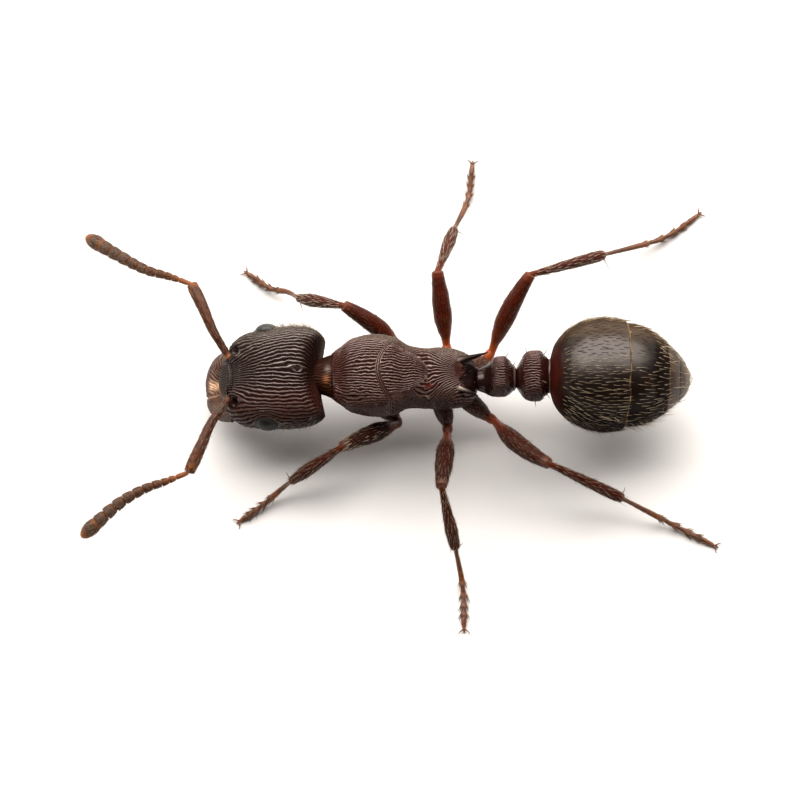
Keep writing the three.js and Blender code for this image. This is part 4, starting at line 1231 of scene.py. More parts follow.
def build_postpetiole():
    """The second waist knot, with wavy ribs along it and a collar behind."""
    rings, around = GRID["postpetiole"]
    stations = np.linspace(POSTPETIOLE[0][0], POSTPETIOLE[-1][0] + 0.03, rings)
    skin, arc = plate(POSTPETIOLE, stations, around)
    r = skin.rings
    r[..., 0] = stations[:, None]
    x, z = r[..., 0], r[..., 2]
    bow = arc * (1 - 0.25 * (x - 1.6) ** 2 / 0.04)
    rib = furrows(bow / RIB["postpetiole"] + waver(r, (0.19, 0.16, 71), (0.10, 0.06, 72)))
    ragged = x + 0.014 * ripple(r, 0.08, 74)
    node = ease(1.45, 1.51, ragged) * ease(1.73, 1.66, ragged) * ease(0.75, 0.92, z)
    strength = np.clip(node * uneven(r, 0.05, 73, 0.15), 0, 1.1)
    rim = bump(x, 1.795, 0.012)
    edge = bump(x, 1.735, 0.014)
    skin.raise_by(ribbing("postpetiole", strength, rib) + 0.010 * rim - 0.012 * edge)
    # Painted highlight: a pale line on top of the rim behind.
    skin.mark(rib * strength + 0.05 * (1 - node), 0.25 * (1 - node), 0.55 * rim * ease(0.9, 1.0, z),
              np.maximum.reduce([in_groove(rib, strength), 0.35 * (1 - node) * (1 - rim), 0.8 * edge]))
    skin.capped(0.02, 0.0)
    node_skin("postpetiole", skin, WAIST_SHELL)
    return skin


# ---- gaster --------------------------------------------------------------------------

def gaster_plate(part, start, end, seed, tuck_in, tuck_over, tuck_out):
    """One plate of the hind body. Its front is narrowed by the share tuck_in over the length tuck_over,
    so that it comes out from under the plate before it, and its rear edge rolls in by tuck_out.
    The rear edges curve back towards the belly by the square of the height from the top."""
    rings, around = GRID[part]
    stations = np.linspace(start, end, rings)
    skin, _ = plate(GASTER, stations, around, square=2.05, dense=0.2)
    r = skin.rings
    x = r[..., 0].copy()
    middle = r.mean(axis=1, keepdims=True)
    scale = 1 - tuck_in * ease(start + tuck_over, start, stations)
    scale = scale - tuck_out * ease(end - 0.022, end, stations) ** 2
    r[:] = middle + (r - middle) * scale[:, None, None]
    r[..., 0] = x
    down = np.clip((r[..., 2].max(axis=1, keepdims=True) - r[..., 2]) / 1.1, 0, 1)
    seam = -0.16 * down ** 1.2 + 0.004 * ripple(np.stack([0 * x, r[..., 1], r[..., 2]], -1), 0.25, seed)
    r[..., 0] += seam * ease(GASTER[0][0] + 0.3, end, x) * ease(3.46, 3.30, x)
    skin.raise_by(0.0006 * ripple(r, 0.20, seed + 2))
    return skin, x


def flank_dulling(skin):
    """A fine down dulls the gloss where the skin turns away from the top; on the right, the side
    towards the soft box, a pale tint of painted light is laid on. Gives the share of down and the share of
    painted light."""
    normal, _ = skin.frames()
    side = normal[..., 1]
    down = 0.97 * ease(0.90, 0.55, normal[..., 2] + 0.04 * ease(0.05, -0.25, side))
    return down, 0.12 * ease(0.28, 0.62, side)


def build_gaster():
    """The hind body: a large first plate, then two that come out from under one another."""
    first, x = gaster_plate("gaster_first", GASTER[0][0] - 0.02, FIRST_PLATE_END, 81, 0.0, 0.05, 0.035)
    stain = 0.5 + 0.5 * ripple(first.rings, 0.2, 90)
    warm = 0.9 * ease(2.00, 1.84, x) * (0.6 + 0.4 * stain)
    edge = ease(FIRST_PLATE_END - 0.018, FIRST_PLATE_END - 0.008, x)
    upper = ease(0.97, 0.80, first.frames()[0][..., 2])
    gold = edge * (0.15 + 0.85 * upper * ease(-0.5, 0.9, ripple(first.rings, 0.12, 91)))
    dull, painted_light_olive = flank_dulling(first)
    # Painted shade: on the left side, away from the soft box, relief falls, which darkens the plate.
    left = ease(-0.1, -0.5, first.frames()[0][..., 1])
    first.mark((0.2 + 0.5 * stain) * (1 - 0.6 * left), warm, np.maximum(gold, painted_light_olive), dull)
    first.capped(0.0, 0.0)
    node_skin("gaster_first", first, GASTER_SHELL)

    second, x = gaster_plate("gaster_second", FIRST_PLATE_END - 0.045, SECOND_PLATE_END, 84,
                             0.060, 0.30, 0.030)
    stain = 0.5 + 0.5 * ripple(second.rings, 0.2, 92)
    edge = ease(SECOND_PLATE_END - 0.016, SECOND_PLATE_END - 0.008, x)
    gold = edge * (0.30 + 0.35 * ease(-0.2, 0.9, ripple(second.rings, 0.12, 93)))
    # Painted reflection: the back of the second plate faces the dark room, so it is painted near black and
    # its gloss is dulled.
    painted_dark_reflection = ease(2.97, 3.08, x) * 0.97
    dull, painted_light_olive = flank_dulling(second)
    second.mark((0.15 + 0.5 * stain) * (1 - 0.7 * painted_dark_reflection), 0.0, np.maximum(gold, painted_light_olive),
                np.maximum(0.20 + 0.80 * dull, painted_dark_reflection))
    second.capped(0.0, 0.0)
    node_skin("gaster_second", second, GASTER_SHELL)

    tip, x = gaster_plate("gaster_tip", SECOND_PLATE_END - 0.04, GASTER[-1][0], 87, 0.05, 0.12, 0.0)
    stain = 0.5 + 0.5 * ripple(tip.rings, 0.15, 94)
    line = bump(x, SECOND_PLATE_END + 0.115, 0.008)
    tip.raise_by(-0.006 * line)
    tip.mark(0.7 + 0.3 * stain, 0.0, 0.06 + 0.05 * stain + 0.20 * ease(3.40, 3.46, x), 0.45)
    tip.capped(0.0, 0.012)
    node_skin("gaster_tip", tip, GASTER_SHELL)
    return first, second, tip


# ---- legs ----------------------------------------------------------------------------

def domed(shares, radius, length, before, after):
    """Distances and radii of a limb with rounded ends: before each end, the radius falls as a cosine
    while the distance goes on by its sine."""
    distance = shares * length
    head = distance[0] - before * np.sin(QUARTER_TURN)
    tail = distance[-1] + after * np.sin(QUARTER_TURN)
    shrink = np.maximum(np.cos(QUARTER_TURN), 0.03)
    return (np.concatenate([head[::-1], distance, tail]),
            np.concatenate([radius[0] * shrink[::-1], radius, radius[-1] * shrink]))


def leg_segment(part, path, table, before, after, seed, line_mm=0.016, line_height=0.0022):
    """A leg segment with fine lengthwise lines."""
    rings, around = GRID[part]
    shares = np.linspace(0, 1, rings)
    distance, radius = domed(shares, along(table, shares), path.length, before, after)
    skin = limb(path, distance, radius, around)
    share = skin.over(np.clip(distance / path.length, 0, 1))
    angle = np.linspace(0, TURN, around, endpoint=False)[None] + 0 * share
    lines = np.maximum(4, round(TURN * max(radius) / line_mm))
    phase = angle * lines / TURN + 0.6 * ripple(skin.rings, 0.15, seed)
    rib = furrows(phase)
    skin.raise_by(line_height * (rib - 0.5) + 0.0010 * ripple(skin.rings, 0.16, seed + 1))
    skin.mark(relief=0.15 + 0.8 * rib)
    return skin, share, angle


def foot_profile(shares, count):
    """Shares along the foot, the radius there, and the share within the joint. In each joint the
    radius grows from the waist to the flare by a power of 1.3, and drops back at the cut end; the
    last joint is slimmest at its end."""
    ends = np.cumsum(shares) / np.sum(shares)
    starts = np.concatenate([[0.0], ends[:-1]])
    t = np.linspace(0, 1, count)
    joint = np.clip(np.searchsorted(ends, t, side="left"), 0, len(shares) - 1)
    inside = (t - starts[joint]) / (ends[joint] - starts[joint])
    last = joint == len(shares) - 1
    flare = np.where(joint == 0, TARSUS["first"], TARSUS["flare"])
    rise = TARSUS["waist"] + (flare - TARSUS["waist"]) * inside ** 1.3
    rise = np.where(last, 0.020 + 0.011 * np.sin(math.pi * np.clip(inside, 0, 1) ** 0.8), rise)
    start = np.where(joint == 0, 1.0, 0.80 + 0.20 * ease(0, 0.15, inside))
    return t, rise * start * (0.62 + 0.38 * ease(1.0, 0.95, inside)), inside


def build_leg(name, leg):
    """The six segments of a leg with its claws and spur, and the roots that its hairs stand on."""
    pair, side = name.split("_")
    chain = [np.array(p) for p in leg["chain"]]
    toes = [np.array(p) for p in leg["toes"]]
    hip, coxa_end, femur_base, knee, ankle = chain
    base = 100 + 20 * list(LEGS).index(name)
    skins = {}

    coxa, share, _ = leg_segment("coxa", Path([hip, coxa_end]), COXA, 0.0, 0.03, base, 0.020, 0.004)
    cells = pebbles(coxa.rings, 0.030, base + 2)
    coxa.mark(0.1 + 0.5 * cells, 0.20 * ease(0.5, 1.0, share), 0.35 + 0.35 * cells, 0.45)
    skins["coxa"] = coxa
    node_skin(f"{pair}_coxa_{side}", coxa, LEG_SHELL)

    link = Path([coxa_end, femur_base])
    trochanter, share, _ = leg_segment("trochanter", link, TROCHANTER, 0.03, 0.02, base + 4)
    trochanter.mark(warm=leg["orange_and_painted_glow"] * (0.7 + 0.3 * share))
    node_skin(f"{pair}_trochanter_{side}", trochanter, LEG_SHELL)

    thigh = Path.bent(femur_base, knee, leg["bow"])
    femur, share, angle = leg_segment("femur", thigh, FEMUR, 0.03, 0.018, base + 6, line_height=0.0012)
    warm = leg["orange_and_painted_glow"] * ease(0.16, 0.0, share)
    warm = warm + 0.17 * ease(0.55, 0.2, share) + 0.16 * ease(0.955, 1.0, share)
    # Painted sheen: the flanks of the thigh, turned away from the top, are paled where the down lies.
    painted_sheen_sides = ease(0.95, 0.45, femur.frames()[0][..., 2] + 0.12 * ripple(femur.rings, 0.12, base + 8))
    ring = bump(share, 0.955, 0.02) * (1 - 0.75 * leg["grey"])
    cuff = leg["grey"] ** 2 * ease(0.90, 0.95, share)
    # down is partly the thigh's down and partly painted shade: it darkens and dulls the legs with more grey,
    # the left ones away from the soft box.
    down = leg["grey"] * ease(0.1, 0.35, share) * ease(1.0, 0.93, share)
    dim = np.clip(1 - 1.15 * down, 0, 1)
    femur.mark((0.15 + 0.8 * furrows(angle * 3)) * dim, warm * dim + 0.35 * ring,
               np.maximum(down * (0.08 + 0.55 * painted_sheen_sides), 0.9 * cuff),
               np.maximum(np.minimum(1.15 * down, 0.95), 0.4 * cuff))
    skins["femur"] = femur
    node_skin(f"{pair}_femur_{side}", femur, LEG_SHELL)

    shin, share, angle = leg_segment("tibia", Path([knee, ankle]), TIBIA[pair], 0.035, 0.012, base + 10)
    warm = (0.30 - 0.14 * leg["grey"]) * ease(0.12, 0.0, share) + 0.10 * ease(0.9, 1.0, share)
    # Painted sheen: the flanks of the shin, turned away from the top, are paled; the legs with more grey, the
    # left ones, are darkened as painted shade.
    edges = ease(0.95, 0.35, shin.frames()[0][..., 2])
    shin.mark((0.05 + 0.55 * furrows(angle * 2)) * (1 - 0.4 * leg["grey"]), warm,
              0.35 * edges * ease(0.08, 0.3, share) * ease(1.0, 0.85, share),
              0.30 + 0.40 * leg["grey"] + 0.25 * edges)
    skins["tibia"] = shin
    node_skin(f"{pair}_tibia_{side}", shin, LEG_SHELL)

    foot = Path.through([ankle] + toes)
    rings, around = GRID["tarsus"]
    t, radius, inside = foot_profile(TARSUS_SHARES, rings)
    sole = limb(foot, t * foot.length, radius, around, floor=0.0)
    share = sole.over(t)
    tone = 0.4 + 0.3 * ripple(sole.rings, 0.04, base + 12)
    sole.mark(relief=tone, warm=0.35 * ease(0.5, 1.0, inside)[:, None] * share ** 0.5,
              pale=0.5 * ease(0.45, 0.0, share))
    sole.capped(0.02, 0.012)
    sole.rings[..., 2] = np.maximum(sole.rings[..., 2], 0.0)
    skins["tarsus"] = sole
    node_skin(f"{pair}_tarsus_{side}", sole, FOOT_SHELL)

    end, heading = foot.at(np.array([foot.length]))
    forward = unit(heading[0] * [1, 1, 0])
    across = np.array([-forward[1], forward[0], 0])
    root = end[0] + forward * 0.004 + [0, 0, 0.002]
    hooks = []
    for hand in (-1, 1):
        bend = [root, root + forward * 0.022 + across * hand * 0.022 + [0, 0, 0.010],
                root + forward * 0.045 + across * hand * 0.055 + [0, 0, 0.004],
                root + forward * CLAW["reach"] * 1.1 + across * hand * CLAW["spread"] + [0, 0, -CLAW["drop"]]]
        hooks.append(horn("claw", bend, CLAW["root"], CLAW["point"], power=0.8))
    sag = [root, root + forward * 0.028 + [0, 0, -0.002], root + forward * 0.045 + [0, 0, -0.004]]
    pad = horn("pad", sag, 0.016, 0.010, flat=0.5, relief=0.9, warm=0.6).capped(0.0, 0.008)
    for skin in hooks + [pad]:
        skin.rings[..., 2] = np.maximum(skin.rings[..., 2], 0.0)
    claws = f"{pair}_claws_{side}"
    skin_object(f"{claws}_skin", hooks + [pad], CLAW_HORN, [claws])

    tip = np.array(leg["spur"])
    start = ankle + (knee - ankle) * 0.04
    middle = (start + tip) / 2 + unit(toes[0] - ankle) * 0.02
    spur = horn("spur", [start, middle, tip], 0.009, 0.002)
    skin_object(f"{pair}_spur_{side}", [spur], CLAW_HORN)
    return skins


# ---- feelers -------------------------------------------------------------------------

def build_feeler(name, curves):
    """A feeler: a long scape that thickens to a cut end, and a lash of beads that grow into a club."""
    scape_path = Path.through(curves["scape"])
    shares = np.concatenate([np.linspace(0, 0.12, 20, endpoint=False), np.linspace(0.12, 1, 90)])
    distance, radius = domed(shares, along(SCAPE, shares), scape_path.length, 0.03, 0.018)
    scape = limb(scape_path, distance, radius, 48)
    share = scape.over(np.clip(distance / scape_path.length, 0, 1))
    angle = np.linspace(0, TURN, 48, endpoint=False)[None]
    rib = furrows(angle * 14 / TURN + 0.5 * ripple(scape.rings, 0.12, 301))
    scape.raise_by(0.0015 * (rib - 0.5) + 0.0008 * ripple(scape.rings, 0.15, 302))
    tone = 0.5 + 0.5 * ripple(scape.rings, 0.2, 303)
    streaky = ease(0.25, 0.75, 0.5 + 0.5 * ripple(scape.rings * [1, 1, 3], 0.09, 304))
    # The root of the scape is orange; on the right feeler, towards the soft box, more of it is laid on as
    # painted light.
    warm = (0.5 if name == "right" else 0.15) * ease(0.07, 0.0, share)
    warm = warm + 0.26 * ease(0.75, 1.0, share) * streaky
    scape.mark((0.10 + 0.5 * rib + 0.4 * streaky) * (0.45 + 0.55 * ease(0.1, 0.8, share)), warm,
               0.22 * tone * (1 - streaky), 0.5)
    node_skin(f"scape_{name}", scape, FEELER_SHELL)

    start = np.array(curves["scape"][-1]) * 0.6 + np.array(curves["lash"][0]) * 0.4
    lash_path = Path.through([start] + curves["lash"][1:])
    ends = np.cumsum(LASH_SHARES) / np.sum(LASH_SHARES)
    starts = np.concatenate([[0.0], ends[:-1]])
    count = len(LASH_SHARES)
    size = LASH["start"] + (LASH["end"] - LASH["start"]) * (np.arange(count) / (count - 1)) ** LASH["growth"]
    parts = {}
    club_start = count - CLUB_JOINTS
    for part, joints in (("lash", range(club_start)), ("club", range(club_start, count))):
        low, high = starts[joints[0]], ends[joints[-1]]
        t = np.linspace(low, high, 34 * len(joints))
        joint = np.clip(np.searchsorted(ends, t, side="left"), joints[0], joints[-1])
        inside = np.clip((t - starts[joint]) / (ends[joint] - starts[joint]), 0, 1)
        # a bead: narrow at its base, widest at three quarters, then cut off short
        bead = LASH["waist"] + (1 - LASH["waist"]) * np.sin(math.pi / 2 * np.minimum(1, inside / 0.72)) ** 0.9
        radius = size[joint] * bead * (1 - 0.40 * ease(0.88, 1.0, inside))
        radius = radius * (0.60 + 0.40 * ease(0.0, 0.12, inside))
        if part == "club":
            blunt = np.sqrt(np.maximum(0.03, 1 - np.clip((inside - 0.30) / 0.71, 0, 1) ** 2.0))
            swell = 0.86 + 0.14 * np.sin(math.pi / 2 * np.minimum(1, inside / 0.35))
            radius = np.where(joint == count - 1, size[joint] * 1.04 * blunt * swell, radius)
        skin = limb(lash_path, t * lash_path.length, radius, 40)
        share = skin.over(t)
        grain = pebbles(skin.rings, 0.018, 311)
        skin.raise_by(0.0016 * (grain - 0.5))
        waist = (bump(inside, 0.0, 0.13) + bump(inside, 1.0, 0.07))[:, None] + 0 * share
        warm = 0.34 * waist + 0.55 * ease(0.90, 1.0, share) + 0.40 * ease(0.25, 0.0, share) + 0.12 * grain
        grey = 0.66 * grain * (1 - waist) * ease(0.2, 0.6, share) * ease(1.0, 0.9, share)
        skin.mark(0.02 + 0.38 * grain, warm, grey, 0.5)
        skin.capped(0.01, 0.004)
        parts[part] = skin
        node_skin(f"{part}_{name}", skin, FEELER_SHELL)
    return {"scape": scape, **parts}


# ---- hairs ---------------------------------------------------------------------------

HAIR_SEED = {"head": 500, "trunk": 501, "waist": 502, "gaster": 503, "leg": 510, "feeler": 520}
FLAT_LIE = {"spread": 0.10, "curl": 0.03, "sunk": 0.002}

# Single bristles: where the root stands on the back (x, y), and the reach of the hair from there.
FACE_BRISTLES = [
    [-2.072, -0.300, -0.02, 0.20, 0.10], [-2.00, -0.16, 0.08, 0.15, 0.06],
    [-1.915, 0.03, -0.01, 0.03, 0.05], [-2.205, -0.36, 0.055, -0.085, 0.05],
    [-2.34, -0.24, 0.06, -0.10, 0.04], [-2.30, -0.30, 0.09, -0.11, 0.05],
    [-1.052, -0.045, -0.05, -0.075, 0.03],
]
TRUNK_BRISTLES = [
    [-0.106, 0.335, 0.055, 0.075, 0.05], [-0.20, 0.28, 0.045, 0.085, 0.03],
    [0.44, 0.215, 0.05, 0.05, 0.04], [0.305, -0.255, 0.065, -0.08, 0.03],
    [0.33, -0.06, -0.01, -0.10, 0.02], [0.60, -0.16, 0.05, -0.05, 0.04],
]
WAIST_BRISTLES = [
    [1.252, 0.180, 0.070, 0.085, 0.05], [1.732, 0.265, 0.070, 0.095, 0.05],
    [1.600, 0.290, 0.010, 0.080, 0.05], [1.515, 0.250, -0.020, 0.070, 0.05],
    [1.36, 0.14, 0.035, 0.050, 0.04], [1.245, -0.190, 0.045, -0.080, 0.04],
    [1.105, -0.185, 0.025, -0.085, 0.02], [1.765, -0.235, 0.045, -0.075, 0.03],
    [1.620, -0.290, 0.010, -0.095, 0.02], [1.550, -0.270, -0.005, -0.070, 0.02],
]
WAIST_PALE = [
    [1.115, -0.060, 0.115, -0.150, 0.02], [1.14, 0.05, 0.08, -0.06, 0.03],
    [1.70, -0.12, 0.07, -0.04, 0.03],
]


def placed(rows, skins, rng, width, curl):
    """Single hairs on the highest point of the skins nearest to each row's x and y, with the row's
    reach and a bow of curl times the length."""
    rows = np.array(rows, float)
    points = np.concatenate([s.rings.reshape(-1, 3) for s in skins])
    normals = np.concatenate([s.frames()[0].reshape(-1, 3) for s in skins])
    gap = ((rows[:, None, :2] - points[None, :, :2]) ** 2).sum(axis=-1) + (normals[None, :, 2] < 0.05)
    root = points[gap.argmin(axis=1)]
    reach = rows[:, 2:]
    length = np.linalg.norm(reach, axis=1)
    heading = reach / length[:, None]
    normal = unit(np.cross(unit(np.cross(heading, UP)), heading))
    lifted = unit(heading + curl * normal)
    return {"place": root - 0.004 * UP, "heading": lifted, "normal": normal, "length": length,
            "width": np.full(len(root), width), "curl": np.full(len(root), curl),
            "home": np.stack([rng.uniform(0.1, 0.9, len(root)), rng.uniform(0.1, 0.9, len(root))], -1)}


def head_hairs():
    """Short hairs that point forward over the head, and longer erect ones round its rear corners."""
    rng = np.random.default_rng(HAIR_SEED["head"])
    short = head.roots(240, 1)
    corner = head.roots(5200, 2, lambda f: (f["place"][:, 0] > -1.52) & (f["place"][:, 0] < -0.92)
                        & (np.abs(f["place"][:, 1]) > 0.53) & (f["normal"][:, 2] > -0.2)
                        & (f["normal"][:, 2] < np.where(f["place"][:, 1] > 0, 0.60, -0.1)))
    cheek = head.roots(420, 3, lambda f: (np.abs(f["place"][:, 1]) > 0.48) & (f["place"][:, 0] < -1.3))
    hairs("head_hairs", [strands(short, rng, 0.036, 0.0032, 0.7, spread=0.5, back=True)], PALE_HAIR)
    hairs("corner_hairs", [
        strands(corner, rng, 0.112, 0.0062, 0.90, spread=0.35, curl=0.30, back=True)], PALE_HAIR)
    hairs("cheek_hairs", [
        strands(cheek, rng, 0.055, 0.0036, 0.8, spread=0.5, back=True)], TAWNY_HAIR)
    jaw_hairs = [strands(jaw.roots(50, 3), rng, 0.050, 0.0036, 0.6, spread=0.3, tile=(k, 2))
                 for k, jaw in enumerate(jaws)]
    hairs("jaw_hairs", jaw_hairs, TAWNY_HAIR)
    hairs("face_bristles", [placed(FACE_BRISTLES, [head] + jaws, rng, 0.0070, 0.22)], PALE_HAIR)


def trunk_hairs():
    """Sparse fine hairs over the three back plates, nearly upright."""
    rng = np.random.default_rng(HAIR_SEED["trunk"])
    plates = [pronotum, mesonotum, propodeum]

    def flank(f):
        """Where the skin faces sideways."""
        return (f["normal"][:, 2] < 0.45) & (f["normal"][:, 2] > -0.3)

    hairs("trunk_hairs", [strands(skin.roots(90, k), rng, 0.055, 0.0034, 0.95, spread=0.6, tile=(k, 3))
                          for k, skin in enumerate(plates)], PALE_HAIR)
    hairs("flank_hairs", [strands(skin.roots(420, k + 5, flank), rng, 0.050, 0.0034, 0.85, spread=0.5,
                                  tile=(k, 3)) for k, skin in enumerate(plates)], TAWNY_HAIR)
    hairs("trunk_bristles", [placed(TRUNK_BRISTLES, plates, rng, 0.0080, 0.12)], PALE_HAIR)


def waist_hairs():
    """Dark curved bristles on the two waist knots, pointing back."""
    rng = np.random.default_rng(HAIR_SEED["waist"])
    knots = [petiole, postpetiole]
    groups = [strands(skin.roots(44, 5, lambda f: f["normal"][:, 2] > -0.2), rng, 0.065, 0.0042, 0.75,
                      spread=0.4, tile=(k, 2)) for k, skin in enumerate(knots)]
    groups.append(placed(WAIST_BRISTLES, knots, rng, 0.0150, 0.16))
    hairs("waist_hairs", groups, BRISTLE)
    hairs("waist_pale_hairs", [placed(WAIST_PALE, knots, rng, 0.0080, 0.10)], PALE_HAIR)


REARWARD = [1.8, 0, 0]
GASTER_LONG = [
    [2.392, -0.585, 0.190, -0.075, 0.02], [2.55, -0.60, 0.10, -0.08, 0.02],
    [2.752, -0.615, 0.120, -0.110, 0.03], [2.860, -0.595, 0.11, -0.10, 0.02],
    [2.932, -0.580, 0.11, -0.095, 0.03], [3.01, -0.545, 0.110, -0.062, 0.03],
    [3.088, -0.475, 0.126, -0.010, 0.03], [3.184, -0.390, 0.144, 0.0, 0.03],
    [3.268, -0.200, 0.156, 0.0, 0.03], [3.136, 0.28, 0.192, -0.025, 0.03],
    [3.25, 0.10, 0.13, 0.012, 0.03], [3.30, 0.20, 0.10, 0.03, 0.03], [2.95, 0.50, 0.12, 0.05, 0.04],
    [2.62, 0.62, 0.10, 0.06, 0.03], [3.40, 0.0, 0.11, -0.01, 0.02], [3.38, -0.15, 0.12, -0.03, 0.02],
]


def gaster_hairs():
    """Hairs in rows that lie flat and point back, painted dark where they stand in the top light, as they
    look against the highlight there, and long pale ones at the plate edges and the tip."""
    rng = np.random.default_rng(HAIR_SEED["gaster"])
    first, second, tip = gaster

    def on_top(f):
        """In one of two ovals that the top light fills."""
        x, y = f["place"][:, 0], f["place"][:, 1]
        front = ((x - 2.36) / 0.44) ** 2 + ((y - 0.32) / 0.27) ** 2
        back = ((x - 2.91) / 0.17) ** 2 + ((y - 0.20) / 0.27) ** 2
        return (np.minimum(front, back) < 1) & (f["normal"][:, 2] > 0)

    def outline(f):
        """A narrow band just under the widest line of the left flank."""
        return (np.abs(f["normal"][:, 2] + 0.20) < 0.07) & (f["normal"][:, 1] < -0.3)

    def rim(f, low):
        """Flanks: below a height that rises from left to right."""
        return f["normal"][:, 2] < low + 0.26 * ease(-0.2, 0.5, f["normal"][:, 1])

    flat = [
        (first, 9, 104, lambda f: (f["place"][:, 0] > 1.93) & (f["place"][:, 0] < 2.69)),
        (second, 4, 84, lambda f: (f["u"] > 0.20) & (f["u"] < 0.93)),
        (tip, 3, 30, lambda f: f["u"] > 0.25),
    ]
    pale, dark = [], []
    for k, (skin, nu, nv, keep) in enumerate(flat):
        rows = skin.rows(nu, nv, 60 + k, keep)
        # Hairs in the lit ovals take the dark bristle colour, painted to look dark against the highlight.
        lit = on_top(rows)
        for group, share, size, thick in ((pale, ~lit, 0.130, 0.0092), (dark, lit, 0.088, 0.0130)):
            part = chosen(rows, share)
            group.append(strands(part, rng, size, thick, 0.12, tile=(k, 3),
                                 ahead=part["ahead"] + REARWARD, **FLAT_LIE))
    hairs("gaster_hairs", pale, GOLD_HAIR)
    hairs("gaster_dark_hairs", dark, BRISTLE)
    edge = [
        (first, 520, lambda f: (f["place"][:, 0] > 1.95) & rim(f, 0.10), 0.080, 0.55),
        (first, 400, lambda f: (np.abs(f["u"] - 0.90) < 0.03) & rim(f, 0.20), 0.100, 0.35),
        (second, 420, lambda f: (f["u"] > 0.35) & rim(f, 0.15), 0.115, 0.60),
        (second, 110, lambda f: (np.abs(f["u"] - 0.88) < 0.05), 0.120, 0.22),
        (tip, 150, lambda f: (f["u"] > 0.1) & rim(f, 0.30), 0.110, 0.50),
        (first, 1500, lambda f: (f["place"][:, 0] > 2.15) & outline(f), 0.115, 0.62),
        (second, 1500, lambda f: (f["u"] > 0.25) & outline(f), 0.150, 0.62),
    ]
    groups = []
    for k, (skin, count, keep, size, lean) in enumerate(edge):
        part = skin.roots(count, 9 + k, keep)
        groups.append(strands(part, rng, size, 0.0062, lean, spread=0.16, curl=0.12, tile=(k % 5, 5),
                              ahead=part["ahead"] + REARWARD, sunk=0.002))
    groups.append(placed(GASTER_LONG, [first, second, tip], rng, 0.0072, 0.10))
    hairs("gaster_edge_hairs", groups, LIGHT_HAIR)


def leg_hairs(name, skins):
    """Flat hairs along thigh and shin, slanting ones on coxa and foot, and stiff ones round the ends
    of the foot's joints."""
    rng = np.random.default_rng(HAIR_SEED["leg"] + list(LEGS).index(name))
    downy = LEGS[name]["grey"]
    streaks = skins["tibia"].rows(6, 18, 5, lambda f: (f["u"] > 0.06) & (f["u"] < 0.95))
    thigh = skins["femur"].rows(7, 30, 6, lambda f: (f["u"] > 0.18) & (f["u"] < 0.93))
    thin = rng.uniform(size=len(thigh["u"])) < downy ** 2
    thigh = chosen(thigh, thin)
    # Painted light: the shin hairs of the right legs, towards the soft box, take a lighter copy of the hair
    # colour.
    hairs(f"{name}_shin_streaks", [
        strands(streaks, rng, 0.120, 0.0060, 0.18, tile=(2, 4), **FLAT_LIE),
    ], LIGHT_HAIR if name.endswith("right") else PALE_HAIR)
    hairs(f"{name}_hip_hairs", [
        strands(skins["coxa"].roots(170, 1), rng, 0.060, 0.0042, 0.45, spread=0.35, tile=(0, 4)),
    ], PALE_HAIR)
    hairs(f"{name}_thigh_streaks", [
        strands(thigh, rng, 0.110, 0.0060, 0.18, spread=0.09, curl=0.02, tile=(1, 4), sunk=0.002),
    ], LIGHT_HAIR if name == "fore_left" else TAWNY_HAIR)
    far = (skins["femur"], skins["tibia"])
    hairs(f"{name}_hairs", [
        strands(far[0].roots(220, 2), rng, 0.062, 0.0036, 0.45, spread=0.25, tile=(1, 4)),
        strands(far[0].roots(60, 3), rng, 0.060, 0.0040, 0.85, spread=0.25, tile=(1, 4)),
        strands(far[1].roots(220, 5), rng, 0.065, 0.0040, 0.60, spread=0.2, tile=(2, 4)),
    ], TAWNY_HAIR)
    sole = skins["tarsus"]
    toes = [strands(sole.roots(420, 6, lambda f: f["place"][:, 2] > 0.01), rng, 0.055, 0.0044, 0.36,
                    spread=0.15, tile=(3, 4))]
    slight = 0.8 if name.endswith("right") else 1.0
    marks = np.cumsum(TARSUS_SHARES)
    for k, mark in enumerate(marks[:-1]):
        row = int(mark * (GRID["tarsus"][0] - 1)) + 4
        for back, size in ((0, 0.105), (4, 0.092), (10, 0.080)):
            ring = sole.whorl(row - back, 13, 3 * k + back)
            high = ring["place"][:, 2] > 0.012
            toes.append(strands(chosen(ring, high), rng, size * slight, 0.0110 * slight, 0.32,
                                spread=0.12, curl=-0.08, tile=(3, 4)))
    hairs(f"{name}_foot_hairs", toes, BROWN_HAIR)


